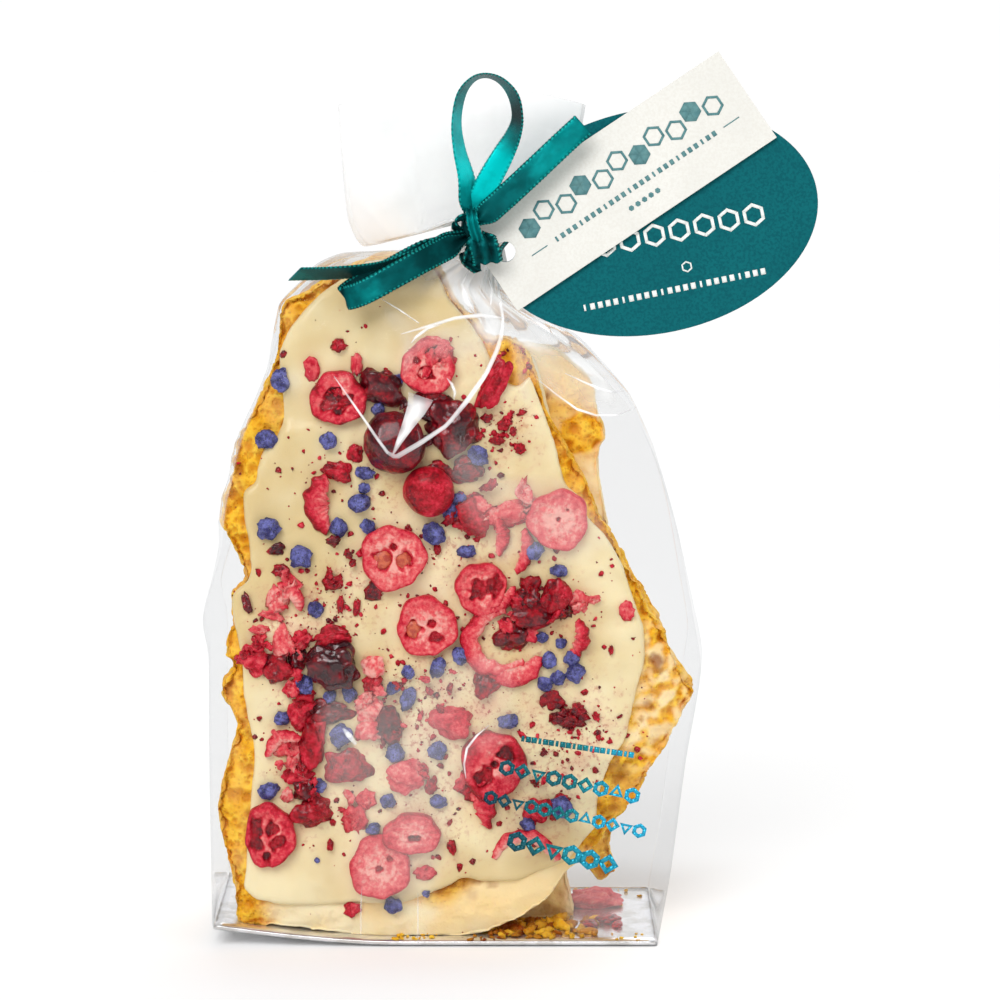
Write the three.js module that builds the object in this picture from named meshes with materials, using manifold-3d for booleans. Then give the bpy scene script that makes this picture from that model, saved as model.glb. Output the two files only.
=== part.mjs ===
// A clear film gift bag of honeycomb toffee shards, tied at the neck with a satin ribbon bow.
// Two card swing tags hang on the ribbon. The bag is one solid out to its film.
// Millimetres, +Z up, +Y away from the front. The origin is the middle of the flat underside.

import * as THREE from "three";
import { mergeVertices } from "three/addons/utils/BufferGeometryUtils.js";
import Module from "manifold-3d";

const wasm = await Module();
wasm.setup();

// Bag: a block-bottom bag with side gussets.
const BASE_WIDTH = 110;
const BASE_DEPTH = 50;
const BASE_FLAT_FROM = -10; // the underside lies flat from here to its right end
const BASE_CURL = 4.3; // how far the left end of the underside rises
const CURL_POWER = 1.6; // how suddenly it rises
const CURL_FADE = 40; // the height by which the film above no longer follows the curl
const SHOULDER_HEIGHT = 169;
const NECK_X = 10;
const NECK_HEIGHT = 172;
const NECK_HALF_WIDTH = 6.2;
const NECK_HALF_DEPTH = 4.3;
const TOP_HEIGHT = 203;
const TOP_CROWN = 4.5; // how far the cut mouth rises in its middle
const HEADER_Y = 2.2; // the mouth stands a little behind the neck
const HEADER_HALF_DEPTH = 1.7;
const HEADER_WAVE = 1.1; // how far the header swings to the front and the back
const HEADER_WAVES = 5;
const HEADER_WAVE_DRIFT = 0.08;

// Points round each ring of the bag, and rings between two neighbouring sections.
const FRONT_STEPS = 26;
const SIDE_STEPS = 10;
const PLEATS = 13;
const PLEAT_DEPTH = 0.09;
const SLOPE_SHARE = 0.3; // how rounded the bag's outline is between two sections
const CORNER_POWER = 5; // how close to a corner a crease starts to turn round it

// Creases in the film: dished facets that meet in ridges.
const CREASE_SEEDS = 34;
const CREASE_HEIGHT = 1.5;
const CREASE_REACH = 22;
const CREASE_MARGIN = 8; // the seeds reach this far past the base, and start this far above it

// Ribbon.
const RIBBON_WIDTH = 6;
const RIBBON_THICKNESS = 0.7;
const BAND_GAP = 0.5;
const BAND_THICKNESS = 0.9;
const BAND_WIDTH = 4.6;
const BAND_RISE = 0.2; // the band waves up and down this much round the neck
const WRAP_WIDTH = 3.4;
const WRAP_THICKNESS = 1;
const BUNCHED_THICKNESS = 1.6;
const ROOT_WIDTH = 4.4;
const THREAD_WIDTH = 2.4;
const FRILL_WIDTH = 4.2;
const KNOT_RADII = [3.7, 2.9, 5.4];
const KNOT_CENTRE = [9.1, -14.2, 172.4];

// Tags, both threaded on the ribbon through one hole each.
const CARD_THICKNESS = 0.6;
const HOLE_RADIUS = 2.5;
const HOLE_CENTRE = [17, -10.5, 168.5];
const TAG_LENGTH = 75;
const TAG_WIDTH = 25;
const TAG_TURN = 33.9;
const TAG_HOLE_INSET = 5.5;
const TAG_HOLE_RISE = 1; // the hole lies this far above the tag's middle line
const OVAL_LENGTH = 81;
const OVAL_WIDTH = 54;
const OVAL_TURN = 11.6;
const OVAL_HOLE_INSET = 4.6;
const TAG_LEAN = 11; // the lower edges stand forward, resting on the bag's shoulder
const OVAL_STANDS_BACK = 1.1;

const radians = THREE.MathUtils.degToRad;
const lerp = THREE.MathUtils.lerp;

// Small seeded random numbers from 0 to 1, the same on every run.
function seeded(seed) {
  let state = seed;
  return () => {
    state = (state * 1664525 + 1013904223) % 4294967296;
    return state / 4294967296;
  };
}

// A closed grid of rings as a geometry: rings run round anticlockwise seen from above, lowest first.
// The two end faces are strips across each ring, so that a curved rim gets a curved end.
function loft(rings) {
  const count = rings[0].length;
  const position = rings.flat(2);
  const index = [];
  for (let ring = 0; ring + 1 < rings.length; ring += 1) {
    for (let i = 0; i < count; i += 1) {
      const next = (i + 1) % count;
      const [a, b] = [ring * count + i, ring * count + next];
      index.push(a, b, b + count, a, b + count, a + count);
    }
  }
  const top = (rings.length - 1) * count;
  const half = count / 2;
  for (let i = 0; i + 1 < half; i += 1) {
    const [near, nearNext] = [i, i + 1];
    const [far, farNext] = [count - 1 - i, count - 2 - i];
    index.push(near, far, farNext, near, farNext, nearNext);
    index.push(top + near, top + farNext, top + far, top + near, top + nearNext, top + farNext);
  }
  const geometry = new THREE.BufferGeometry();
  geometry.setAttribute("position", new THREE.Float32BufferAttribute(position, 3));
  geometry.setIndex(index);
  return geometry;
}

// One place round the bag: a point on the unit square, walked from the middle of the left side
// along the front, up the right side, along the back and down the left side. The points crowd
// towards the corners.
function squarePoints() {
  const points = [];
  const halfSide = SIDE_STEPS / 2;
  const eased = (share) => Math.sin((share * Math.PI) / 2);
  for (let i = 0; i < halfSide; i += 1) points.push([-1, -eased((i + 0.5) / halfSide)]);
  for (let i = 1; i < FRONT_STEPS; i += 1) points.push([eased(lerp(-1, 1, i / FRONT_STEPS)), -1]);
  for (let i = 0; i < SIDE_STEPS; i += 1) points.push([1, eased(lerp(-1, 1, (i + 0.5) / SIDE_STEPS))]);
  for (let i = 1; i < FRONT_STEPS; i += 1) points.push([eased(lerp(1, -1, i / FRONT_STEPS)), 1]);
  for (let i = 0; i < halfSide; i += 1) points.push([-1, eased(1 - (i + 0.5) / halfSide)]);
  return points;
}

// Cross-sections of the bag from the table up. Each names its left and right end (x, z), its front
// and back (y), how round it is, how deep the gusset tucks in, and how strong its pleats and
// creases are.
function bagSections() {
  const half = BASE_WIDTH / 2;
  const deep = BASE_DEPTH / 2;
  const shoulder = SHOULDER_HEIGHT;
  const body = (left, right, front, back, round, tuck = 0, pleat = 0, crease = 1, steps = 2) => {
    return { left, right, front, back, round, tuck, pleat, crease, steps };
  };
  const neck = (height, grow) => {
    const wide = NECK_HALF_WIDTH * grow;
    const [left, right] = [[NECK_X - wide, height], [NECK_X + wide, height - 0.5]];
    return body(left, right, -NECK_HALF_DEPTH * grow, NECK_HALF_DEPTH * grow, 1, 0, 1, 0, 1);
  };
  const header = (left, right, round, pleat, steps = 2) => {
    const [front, back] = [HEADER_Y - HEADER_HALF_DEPTH, HEADER_Y + HEADER_HALF_DEPTH];
    return { ...body(left, right, front, back, round, 0, pleat, 0, steps), wave: 1 - pleat };
  };
  return [
    body([-half, 0], [half, 0], -deep, deep, 0.05, 0, 0, 0, 1),
    body([-half - 0.4, 3], [half + 0.6, 3], -deep - 0.4, deep + 0.4, 0.06, 0, 0, 0),
    body([-half - 0.6, 24], [half + 3.5, 20], -deep - 1.5, deep + 1, 0.07, 0, 0, 0.5, 3),
    body([-half - 0.8, 50], [half + 7, 47], -deep - 2, deep + 2, 0.08, 0, 0, 1, 3),
    body([-half - 0.8, 72], [half + 10.6, 69], -deep - 2, deep + 2, 0.09),
    body([-half - 2.3, 82], [half + 8.5, 84], -deep - 1.5, deep + 1, 0.1, 2),
    body([-half + 2, 98], [half + 5.4, 102], -deep - 0.5, deep - 1, 0.12, 5),
    body([-half + 4.2, 113], [half + 1.5, 118], -deep + 0.5, deep - 3, 0.16, 8),
    body([-half + 8.6, 130], [half - 4, 131], -deep + 2, deep - 6, 0.22, 9, 0.05),
    body([-half + 12.8, 143], [half - 11, 139.5], -deep + 4, deep - 9, 0.3, 7, 0.12),
    body([-half + 18, 156], [half - 18, 146.5], -deep + 6.5, deep - 12.5, 0.42, 4, 0.3, 0.7),
    body([-half + 28, 164], [half - 28, 151.6], -deep + 10.8, deep - 15.5, 0.66, 1, 0.5, 0.4),
    body([-half + 38.5, shoulder - 1.6], [half - 36, 157.3], -deep + 14.5, deep - 18, 0.85, 0, 0.8, 0),
    neck(NECK_HEIGHT - 3.6, 1.06),
    neck(NECK_HEIGHT, 1),
    neck(NECK_HEIGHT + 3.4, 1.06),
    header([-8, NECK_HEIGHT + 0.6], [19.5, NECK_HEIGHT + 6.5], 0.7, 0.7),
    header([-18, NECK_HEIGHT - 1.6], [25, NECK_HEIGHT + 11], 0.35, 0.35),
    header([-21.2, NECK_HEIGHT + 3.5], [29, NECK_HEIGHT + 15], 0.2, 0.2),
    header([-22.6, NECK_HEIGHT + 18], [35, NECK_HEIGHT + 23.5], 0.1, 0.05),
    header([-23.4, TOP_HEIGHT], [36.5, TOP_HEIGHT], 0.1, 0, 1),
  ];
}

// Smooth blend of four numbers for a Catmull-Rom curve, eased so that kinks in the bag stay kinks.
function blend(before, from, to, after, t) {
  const [slopeFrom, slopeTo] = [SLOPE_SHARE * (to - before), SLOPE_SHARE * (after - from)];
  const [t2, t3] = [t * t, t * t * t];
  return (
    (2 * t3 - 3 * t2 + 1) * from + (t3 - 2 * t2 + t) * slopeFrom +
    (3 * t2 - 2 * t3) * to + (t3 - t2) * slopeTo
  );
}

// Every ring's cross-section: the named ones, and those blended between them.
function allSections(sections) {
  const last = sections.length - 1;
  const made = [];
  for (let s = 0; s < last; s += 1) {
    const four = [Math.max(s - 1, 0), s, s + 1, Math.min(s + 2, last)].map((k) => sections[k]);
    for (let step = 0; step < sections[s].steps; step += 1) {
      const t = step / sections[s].steps;
      const mix = (pick) => blend(...four.map((section) => pick(section) ?? 0), t);
      made.push({
        left: [mix((k) => k.left[0]), mix((k) => k.left[1])],
        right: [mix((k) => k.right[0]), mix((k) => k.right[1])],
        front: mix((k) => k.front),
        back: mix((k) => k.back),
        round: mix((k) => k.round),
        tuck: mix((k) => k.tuck),
        pleat: mix((k) => k.pleat),
        crease: mix((k) => k.crease),
        wave: mix((k) => k.wave),
      });
    }
  }
  made.push(sections[last]);
  return made;
}

// How far the underside rises at x: flat under the weight, curling up towards the left end.
function curl(x) {
  const along = Math.max(0, (BASE_FLAT_FROM - x) / (BASE_WIDTH / 2 + BASE_FLAT_FROM));
  return BASE_CURL * along ** CURL_POWER;
}

// Seeds of the film's facets, spread over the bag.
function creaseSeeds() {
  const random = seeded(20);
  const reach = BASE_WIDTH / 2 + CREASE_MARGIN;
  return Array.from({ length: CREASE_SEEDS }, () => [
    lerp(-reach, reach, random()), lerp(-BASE_DEPTH / 2, BASE_DEPTH / 2, Math.round(random())),
    lerp(CREASE_MARGIN, SHOULDER_HEIGHT, random()),
  ]);
}

// Ridge height at a point: nothing in the middle of a facet, most where two facets meet.
function creaseAt(point, seeds) {
  const nearest = Math.min(...seeds.map((seed) => Math.hypot(...seed.map((v, i) => v - point[i]))));
  return CREASE_HEIGHT * Math.min(1, nearest / CREASE_REACH) ** 2;
}

// One ring of the bag as points in space.
function ringOf(section, square, seeds) {
  return square.map(([squareX, squareY], i) => {
    const length = Math.hypot(squareX, squareY);
    const ripple = 1 + section.pleat * PLEAT_DEPTH * Math.cos((2 * Math.PI * PLEATS * i) / square.length);
    const unitX = lerp(squareX, squareX / length, section.round) * ripple;
    const unitY = lerp(squareY, squareY / length, section.round) * ripple;
    const share = (unitX + 1) / 2;
    const tuck = section.tuck * Math.max(0, 1 - Math.abs(squareY)) * Math.sign(squareX);
    const swing = Math.sin(unitX * HEADER_WAVES + section.left[1] * HEADER_WAVE_DRIFT);
    const wave = (section.wave ?? 0) * HEADER_WAVE * swing;
    const crown = section.wave > 0.9 ? TOP_CROWN * (1 - unitX * unitX) : 0;
    const x = lerp(section.left[0], section.right[0], share) - tuck;
    const middle = (section.front + section.back) / 2;
    const y = middle + (unitY * (section.back - section.front)) / 2 + wave;
    const z = lerp(section.left[1], section.right[1], share) + crown;
    const ridge = section.crease > 0 ? section.crease * creaseAt([x, y, z], seeds) : 0;
    const [outX, outY] = [squareX ** CORNER_POWER, squareY ** CORNER_POWER];
    const out = Math.hypot(outX, outY);
    const lifted = curl(x) * Math.max(0, 1 - z / CURL_FADE);
    return [x + (ridge * outX) / out, y + (ridge * outY) / out, z + lifted];
  });
}

// A strip of ribbon along a line of places. Each place is a point and the direction of the ribbon's
// width there; both are smoothed between places. A closed strip runs back into its start.
function strip(places, width, thickness, steps, closed = false) {
  const points = new THREE.CatmullRomCurve3(places.map(([point]) => new THREE.Vector3(...point)), closed);
  const widths = new THREE.CatmullRomCurve3(places.map(([, across]) => new THREE.Vector3(...across)), closed);
  const count = closed ? steps : steps + 1;
  const position = [];
  for (let i = 0; i < count; i += 1) {
    const at = points.getPoint(i / steps);
    const along = points.getTangent(i / steps);
    const across = widths.getPoint(i / steps).projectOnPlane(along).setLength(width / 2);
    const face = along.clone().cross(across).setLength(thickness / 2);
    for (const [sideways, outwards] of [[-1, -1], [1, -1], [1, 1], [-1, 1]]) {
      position.push(
        ...at.clone().addScaledVector(across, sideways).addScaledVector(face, outwards).toArray(),
      );
    }
  }
  const index = [];
  for (let i = 0; i < steps; i += 1) {
    const next = (i + 1) % count;
    for (let side = 0; side < 4; side += 1) {
      const [a, b] = [i * 4 + side, i * 4 + ((side + 1) % 4)];
      const [c, d] = [next * 4 + ((side + 1) % 4), next * 4 + side];
      index.push(a, b, c, a, c, d);
    }
  }
  if (!closed) {
    const end = steps * 4;
    index.push(0, 2, 1, 0, 3, 2, end, end + 1, end + 2, end, end + 2, end + 3);
  }
  const geometry = new THREE.BufferGeometry();
  geometry.setAttribute("position", new THREE.Float32BufferAttribute(position, 3));
  geometry.setIndex(index);
  return geometry;
}

// A closed geometry as a solid that can be joined to others.
function solid(geometry) {
  const bare = geometry.clone();
  bare.deleteAttribute("normal");
  bare.deleteAttribute("uv");
  const merged = mergeVertices(bare, 1e-4);
  const made = new wasm.Manifold(new wasm.Mesh({
    numProp: 3,
    vertProperties: new Float32Array(merged.attributes.position.array),
    triVerts: new Uint32Array(merged.index.array),
  }));
  return made;
}

// A solid as a geometry again.
function geometryOf(made) {
  const mesh = made.getMesh();
  const geometry = new THREE.BufferGeometry();
  geometry.setAttribute("position", new THREE.Float32BufferAttribute(mesh.vertProperties, 3));
  geometry.setIndex(Array.from(mesh.triVerts));
  geometry.computeVertexNormals();
  return geometry;
}

function bagGeometry() {
  const square = squarePoints();
  const seeds = creaseSeeds();
  const rings = allSections(bagSections()).map((section) => ringOf(section, square, seeds));
  return loft(rings);
}

// The band round the neck: an upright strip along an ellipse just clear of the pleats.
function neckBand() {
  const turns = 12;
  const clear = BAND_GAP + BAND_THICKNESS / 2;
  const [wide, deep] = [NECK_HALF_WIDTH * 1.1 + clear, NECK_HALF_DEPTH * 1.1 + clear];
  const places = Array.from({ length: turns }, (_, i) => {
    const angle = (2 * Math.PI * i) / turns;
    const rise = BAND_RISE * Math.sin(angle * 2);
    return [[NECK_X + wide * Math.cos(angle), deep * Math.sin(angle), NECK_HEIGHT - 0.1 + rise], [0, 0, 1]];
  });
  return strip(places, BAND_WIDTH, BAND_THICKNESS, 36, true);
}

function knotBall() {
  const ball = new THREE.SphereGeometry(1, 18, 12);
  ball.scale(...KNOT_RADII);
  return ball.translate(...KNOT_CENTRE);
}

// The upright loop of the bow. It opens towards the front like a funnel: face-on near the knot,
// turning edge-on over its top.
function uprightLoop() {
  const y = -13;
  const places = [
    [[9, y - 0.4, 174], [-0.9, -0.3, -0.1]],
    [[8.5, y, 179], [-0.85, -0.5, -0.1]],
    [[7.7, y, 186.5], [-0.65, -0.75, -0.1]],
    [[6.1, y, 193], [-0.5, -0.86, 0]],
    [[5.4, y, 199.4], [-0.4, -0.92, 0]],
    [[6.5, y, 205.9], [-0.35, -0.92, 0.15]],
    [[9.2, y, 209.6], [-0.15, -0.95, 0.2]],
    [[12.6, y, 210.6], [0, -0.97, 0.22]],
    [[16.2, y, 209.2], [0.2, -0.95, 0.25]],
    [[19, y, 205.6], [0.4, -0.88, 0.2]],
    [[19.9, y, 200.8], [0.47, -0.88, 0]],
    [[19, y, 196.8], [0.6, -0.8, -0.2]],
    [[16.8, y, 192.4], [0.75, -0.55, -0.35]],
    [[13.9, y, 187.2], [0.83, -0.3, -0.48]],
    [[11.7, y, 182.9], [0.87, -0.2, -0.45]],
    [[10.1, y, 179], [0.9, -0.2, -0.4]],
    [[9.1, y - 0.4, 174], [0.9, -0.2, -0.2]],
  ];
  return strip(places, RIBBON_WIDTH, RIBBON_THICKNESS, 48);
}

// The tail that runs up to the right along the tag's long edge.
function rightTail() {
  const across = [-0.66, 0, 0.75];
  const places = [
    [[9.4, -14.2, 174.6], across],
    [[13.4, -14.5, 178.3], across],
    [[18.3, -13.7, 183], across],
    [[24, -12.7, 188.2], across],
    [[30.2, -11.7, 194], across],
    [[35.6, -11, 198.9], across],
  ];
  return strip(places, RIBBON_WIDTH, RIBBON_THICKNESS, 15);
}

// The tail that runs left above the flat loop, half turned away.
function leftTail() {
  const places = [
    [[8, -14.2, 172.2], [0.2, -0.3, 0.9]],
    [[1.8, -15.8, 170.4], [0.2, -0.5, 0.85]],
    [[-4.2, -17.7, 168.1], [0.2, -0.65, 0.75]],
    [[-11.3, -19.6, 165.9], [0.1, -0.8, 0.62]],
    [[-17.3, -21, 164.9], [0, -0.8, 0.6]],
    [[-25, -22, 164.4], [0, -0.8, 0.6]],
    [[-32.8, -22.6, 164.3], [0, -0.8, 0.6]],
  ];
  return strip(places, RIBBON_WIDTH, RIBBON_THICKNESS, 24);
}

// The second loop of the bow, lying flat to the left in front of the film: out and back.
function flatLoop() {
  const [front, back] = [-23, -20];
  const across = [-0.45, 0, 0.89];
  const places = [
    [[8, -14.4, 171], [-0.3, 0, 0.95]],
    [[3, -17.2, 169.6], across],
    [[-2.6, front + 3, 167.3], across],
    [[-9.6, front + 0.8, 163.6], across],
    [[-16.7, front, 159.9], across],
    [[-21, (front + back) / 2 - 0.3, 158.6], across],
    [[-17.4, back, 161.2], across],
    [[-10.3, back + 0.6, 164.8], across],
    [[-3.3, back + 2.8, 168.4], across],
    [[7.6, -13.4, 171.6], [-0.3, 0, 0.95]],
  ];
  return strip(places, RIBBON_WIDTH, RIBBON_THICKNESS, 36);
}

// The strand that wraps the knot from top to bottom.
function knotWrap() {
  const [x, y, z] = KNOT_CENTRE;
  const [, deep, high] = KNOT_RADII;
  const places = [
    [[x - 1.2, y + 0.5, z + high - 0.6], [1, 0, 0]],
    [[x - 0.8, y - deep * 0.8, z + high * 0.62], [1, 0, 0]],
    [[x, y - deep - 0.5, z], [1, 0, -0.1]],
    [[x + 1, y - deep * 0.75, z - high * 0.7], [1, 0, -0.2]],
    [[x + 1.6, y + 0.6, z - high], [1, 0, -0.2]],
  ];
  return strip(places, WRAP_WIDTH, WRAP_THICKNESS, 16);
}

// The bunched ribbon that joins the knot to the band, to the left of the tags.
function knotRoot() {
  const places = [
    [[6.6, -13.4, 171], [0, 0, 1]],
    [[3.2, -9.2, 171.2], [0, 0, 1]],
    [[4.6, -5.4, 171.3], [0, 0, 1]],
    [[8, -4.9 - BAND_GAP, 171.4], [0, 0, 1]],
  ];
  return strip(places, ROOT_WIDTH, BUNCHED_THICKNESS, 14);
}

// The bunched strand that threads both tags and comes back round to the band.
function threadedStrand() {
  const [x, y, z] = HOLE_CENTRE;
  const places = [
    [[9.5, -13.8, 170], [0, 0, 1]],
    [[13.6, -14, 169.2], [0, 0, 1]],
    [[x - 0.2, y - 2, z], [0, 0, 1]],
    [[x + 0.3, y + 0.6, z + 0.1], [0, 0, 1]],
    [[x + 0.4, y + 3.4, z + 0.8], [0, 0, 1]],
    [[x + 1, y + 6.6, z + 2.2], [0, 0, 1]],
    [[x + 1.2, y + 9.4, z + 3.2], [0, 0, 1]],
  ];
  return strip(places, THREAD_WIDTH, BUNCHED_THICKNESS, 26);
}

// The short frilled end that pokes out below the knot.
function frill() {
  const places = [
    [[9.2, -14.2, 170], [0.9, 0.1, 0.2]],
    [[9, -15, 167.6], [0.9, 0.3, 0.3]],
    [[10.4, -14.8, 164.9], [0.8, -0.3, 0.4]],
  ];
  return strip(places, FRILL_WIDTH, RIBBON_THICKNESS, 8);
}

function ribbonGeometry() {
  const pieces = [
    neckBand(), knotBall(), uprightLoop(), rightTail(), leftTail(), flatLoop(), knotWrap(),
    knotRoot(), threadedStrand(), frill(),
  ];
  const joined = pieces.map(solid).reduce((all, piece) => all.add(piece));
  return geometryOf(joined);
}

// A flat card with its middle plane at z 0, its hole at the origin.
function card(shape, segments) {
  const hole = new THREE.Path().absarc(0, 0, HOLE_RADIUS, 0, 2 * Math.PI, true);
  shape.holes.push(hole);
  const options = { depth: CARD_THICKNESS, bevelEnabled: false, curveSegments: segments };
  return new THREE.ExtrudeGeometry(shape, options).translate(0, 0, -CARD_THICKNESS / 2);
}

function swingTagGeometry() {
  const [left, right] = [-TAG_HOLE_INSET, TAG_LENGTH - TAG_HOLE_INSET];
  const [low, high] = [-TAG_WIDTH / 2 - TAG_HOLE_RISE, TAG_WIDTH / 2 - TAG_HOLE_RISE];
  const outline = [[left, low], [right, low], [right, high], [left, high]];
  return card(new THREE.Shape(outline.map(([x, y]) => new THREE.Vector2(x, y))), 20);
}

function ovalTagGeometry() {
  const middle = OVAL_LENGTH / 2 - OVAL_HOLE_INSET;
  const shape = new THREE.Shape();
  shape.absellipse(middle, 0, OVAL_LENGTH / 2, OVAL_WIDTH / 2, 0, 2 * Math.PI, false, 0);
  return card(shape, 56);
}

// Stands a card up facing the front, leaning back at its top and turned about its hole.
function hang(mesh, turn, back) {
  const lean = radians(TAG_LEAN);
  mesh.rotation.set(Math.PI / 2 - lean, 0, 0);
  mesh.rotateZ(radians(turn));
  const [x, y, z] = HOLE_CENTRE;
  mesh.position.set(x, y + back, z);
  return mesh;
}

function named(name, geometry, colour, roughness) {
  const material = new THREE.MeshStandardMaterial({ color: colour, roughness, metalness: 0 });
  const mesh = new THREE.Mesh(geometry, material);
  mesh.name = name;
  return mesh;
}

const bag = named("bag", bagGeometry(), 0xe8c98a, 0.25);
const ribbon = named("ribbon", ribbonGeometry(), 0x0b6f68, 0.35);
const swingTag = hang(named("tag_cream", swingTagGeometry(), 0xf1efe6, 0.8), TAG_TURN, 0);
const ovalTag = hang(named("tag_oval", ovalTagGeometry(), 0x0f5f68, 0.8), OVAL_TURN, OVAL_STANDS_BACK);

const model = new THREE.Group();
model.add(bag, ribbon, swingTag, ovalTag);

export default model;
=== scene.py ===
import math
import random

import bmesh
import bpy
import numpy as np
from mathutils import Matrix, Vector, noise
from mathutils.bvhtree import BVHTree
from mathutils.kdtree import KDTree


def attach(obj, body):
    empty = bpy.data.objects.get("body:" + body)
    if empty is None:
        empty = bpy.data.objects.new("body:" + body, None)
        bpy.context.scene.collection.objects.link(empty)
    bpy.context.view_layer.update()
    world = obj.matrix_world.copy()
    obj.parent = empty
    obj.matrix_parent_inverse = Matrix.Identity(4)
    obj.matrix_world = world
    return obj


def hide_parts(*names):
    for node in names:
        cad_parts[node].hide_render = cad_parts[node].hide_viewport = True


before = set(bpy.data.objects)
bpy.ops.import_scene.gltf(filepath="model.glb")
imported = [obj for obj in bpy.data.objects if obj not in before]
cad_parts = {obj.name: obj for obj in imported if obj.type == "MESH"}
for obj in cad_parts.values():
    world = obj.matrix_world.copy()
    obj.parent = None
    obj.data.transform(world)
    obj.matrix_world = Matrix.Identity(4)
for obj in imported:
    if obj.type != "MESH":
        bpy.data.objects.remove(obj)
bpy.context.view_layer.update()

# A clear film bag of honeycomb toffee shards with a ribbon bow and two card tags.
# Shapes are made in millimetres in the CAD's frame and scaled to metres as they become pieces.
MM = 0.001
scene = bpy.context.scene

# Camera: a long lens a little above the bag, looking slightly down.
LENS = 118.5
SENSOR = 36
CAMERA = Vector((15.75, -800, 237))
PITCH = math.radians(9.27)
PICTURE = 1000
FOCAL = LENS / SENSOR * PICTURE

# How many millimetres one pixel of the photograph spans at the front of the bag.
PIXEL = 0.24


def sight(u, w):
    """The direction in which the camera sees a pixel of the photograph."""
    forward = Vector((0, math.cos(PITCH), -math.sin(PITCH)))
    up = Vector((0, math.sin(PITCH), math.cos(PITCH)))
    across = (u - PICTURE / 2) / FOCAL
    rise = (PICTURE / 2 - w) / FOCAL
    return (forward + Vector((across, 0, 0)) + up * rise).normalized()


def seen_at(u, w, depth):
    """The point where the sight line of a pixel meets the plane y = depth(z)."""
    direction = sight(u, w)
    point = CAMERA + direction * (-CAMERA.y / direction.y)
    for _ in range(4):
        point = CAMERA + direction * ((depth(point.z) - CAMERA.y) / direction.y)
    return point


# Small numbers that several makers share.

def clamp(value, low=0.0, high=1.0):
    return max(low, min(high, value))


def smooth(low, high, value):
    """Eases from 0 at low to 1 at high."""
    t = clamp((value - low) / (high - low))
    return t * t * (3 - 2 * t)


def mix(a, b, t):
    return a + (b - a) * t


def noise_at(point, size, seed=0.0):
    """Soft noise from -1 to 1 whose lumps are about size millimetres."""
    return noise.noise(Vector(point) / size + Vector((seed, seed * 1.7, -seed)))


def pits_at(point, size, seed=0.0):
    """How deep a point lies in a round pore, 0 to 1; pores are about size apart."""
    nearest = noise.voronoi(Vector(point) / size + Vector((seed, -seed, seed * 0.6)))[0][0]
    return max(0.0, 1 - (nearest / 0.48) ** 2)


# Meshes.

def facing_out(bm):
    """Turns all faces of a bmesh outwards."""
    bmesh.ops.recalc_face_normals(bm, faces=bm.faces)
    return bm


def pile_of(*tones):
    """An empty bmesh with the float layers that its finish reads."""
    bm = bmesh.new()
    for tone in tones:
        bm.verts.layers.float.new(tone)
    return bm


def sheet(around, along, place, tones=None):
    """A grid of points put where place(u, v) says, with its seams and poles merged."""
    rules = tones or {}
    bm = pile_of(*rules)
    bmesh.ops.create_grid(bm, x_segments=around, y_segments=along, size=0.5)
    layers = [bm.verts.layers.float[name] for name in rules]
    for vert in bm.verts:
        u, v = vert.co.x + 0.5, vert.co.y + 0.5
        for layer, rule in zip(layers, rules.values()):
            vert[layer] = rule(u, v)
        vert.co = place(u, v)
    bmesh.ops.remove_doubles(bm, verts=bm.verts, dist=1e-4)
    return facing_out(bm)


def ball(detail):
    """A round bmesh of radius 1, for lumps to be shaped from."""
    bm = bmesh.new()
    bmesh.ops.create_icosphere(bm, subdivisions=detail, radius=1)
    return bm


def absorb(bm, other, place=None):
    """Adds another bmesh to bm, moved by a matrix where one is given, and frees it."""
    if place is not None:
        bmesh.ops.transform(other, matrix=place, verts=other.verts)
    carried = bpy.data.meshes.new("carried")
    other.to_mesh(carried)
    other.free()
    bm.from_mesh(carried)
    bpy.data.meshes.remove(carried)


def drawn_out(bm, corners):
    """Makes a face of corner points and extrudes it; the points of the new side, not yet moved."""
    face = bm.faces.new([bm.verts.new(corner) for corner in corners])
    grown = bmesh.ops.extrude_face_region(bm, geom=[face])["geom"]
    return [item for item in grown if isinstance(item, bmesh.types.BMVert)]


def softened(bm, times):
    """Evens out a bmesh by moving each point towards its neighbours, some times over."""
    for _ in range(times):
        bmesh.ops.smooth_vert(
            bm, verts=bm.verts, factor=0.5, use_axis_x=True, use_axis_y=True, use_axis_z=True)
    bm.normal_update()


def shifted(moves):
    """Moves each point by its own vector, once all of them have been worked out."""
    for vert, move in moves:
        vert.co += move


def finish_piece(name, bm, material, slot, replaces=()):
    """Makes a piece in metres from a bmesh in millimetres."""
    bmesh.ops.scale(bm, vec=(MM, MM, MM), verts=bm.verts)
    mesh = bpy.data.meshes.new(name)
    bm.to_mesh(mesh)
    bm.free()
    mesh.shade_smooth()
    mesh.materials.append(material)
    piece = bpy.data.objects.new(name, mesh)
    scene.collection.objects.link(piece)
    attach(piece, "root")
    if replaces:
        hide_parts(*replaces)


def remeshed(bm, voxel):
    """The same solid as an even grid of quads, as a new bmesh."""
    mesh = bpy.data.meshes.new("rough")
    bm.to_mesh(mesh)
    bm.free()
    rough = bpy.data.objects.new("rough", mesh)
    scene.collection.objects.link(rough)
    remesh = rough.modifiers.new("even", "REMESH")
    remesh.mode = "VOXEL"
    remesh.voxel_size = voxel
    bpy.context.view_layer.update()
    evened = bpy.data.meshes.new_from_object(rough.evaluated_get(bpy.context.evaluated_depsgraph_get()))
    even = bmesh.new()
    even.from_mesh(evened)
    bpy.data.objects.remove(rough)
    bpy.data.meshes.remove(mesh)
    bpy.data.meshes.remove(evened)
    return even


# Materials.

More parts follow.
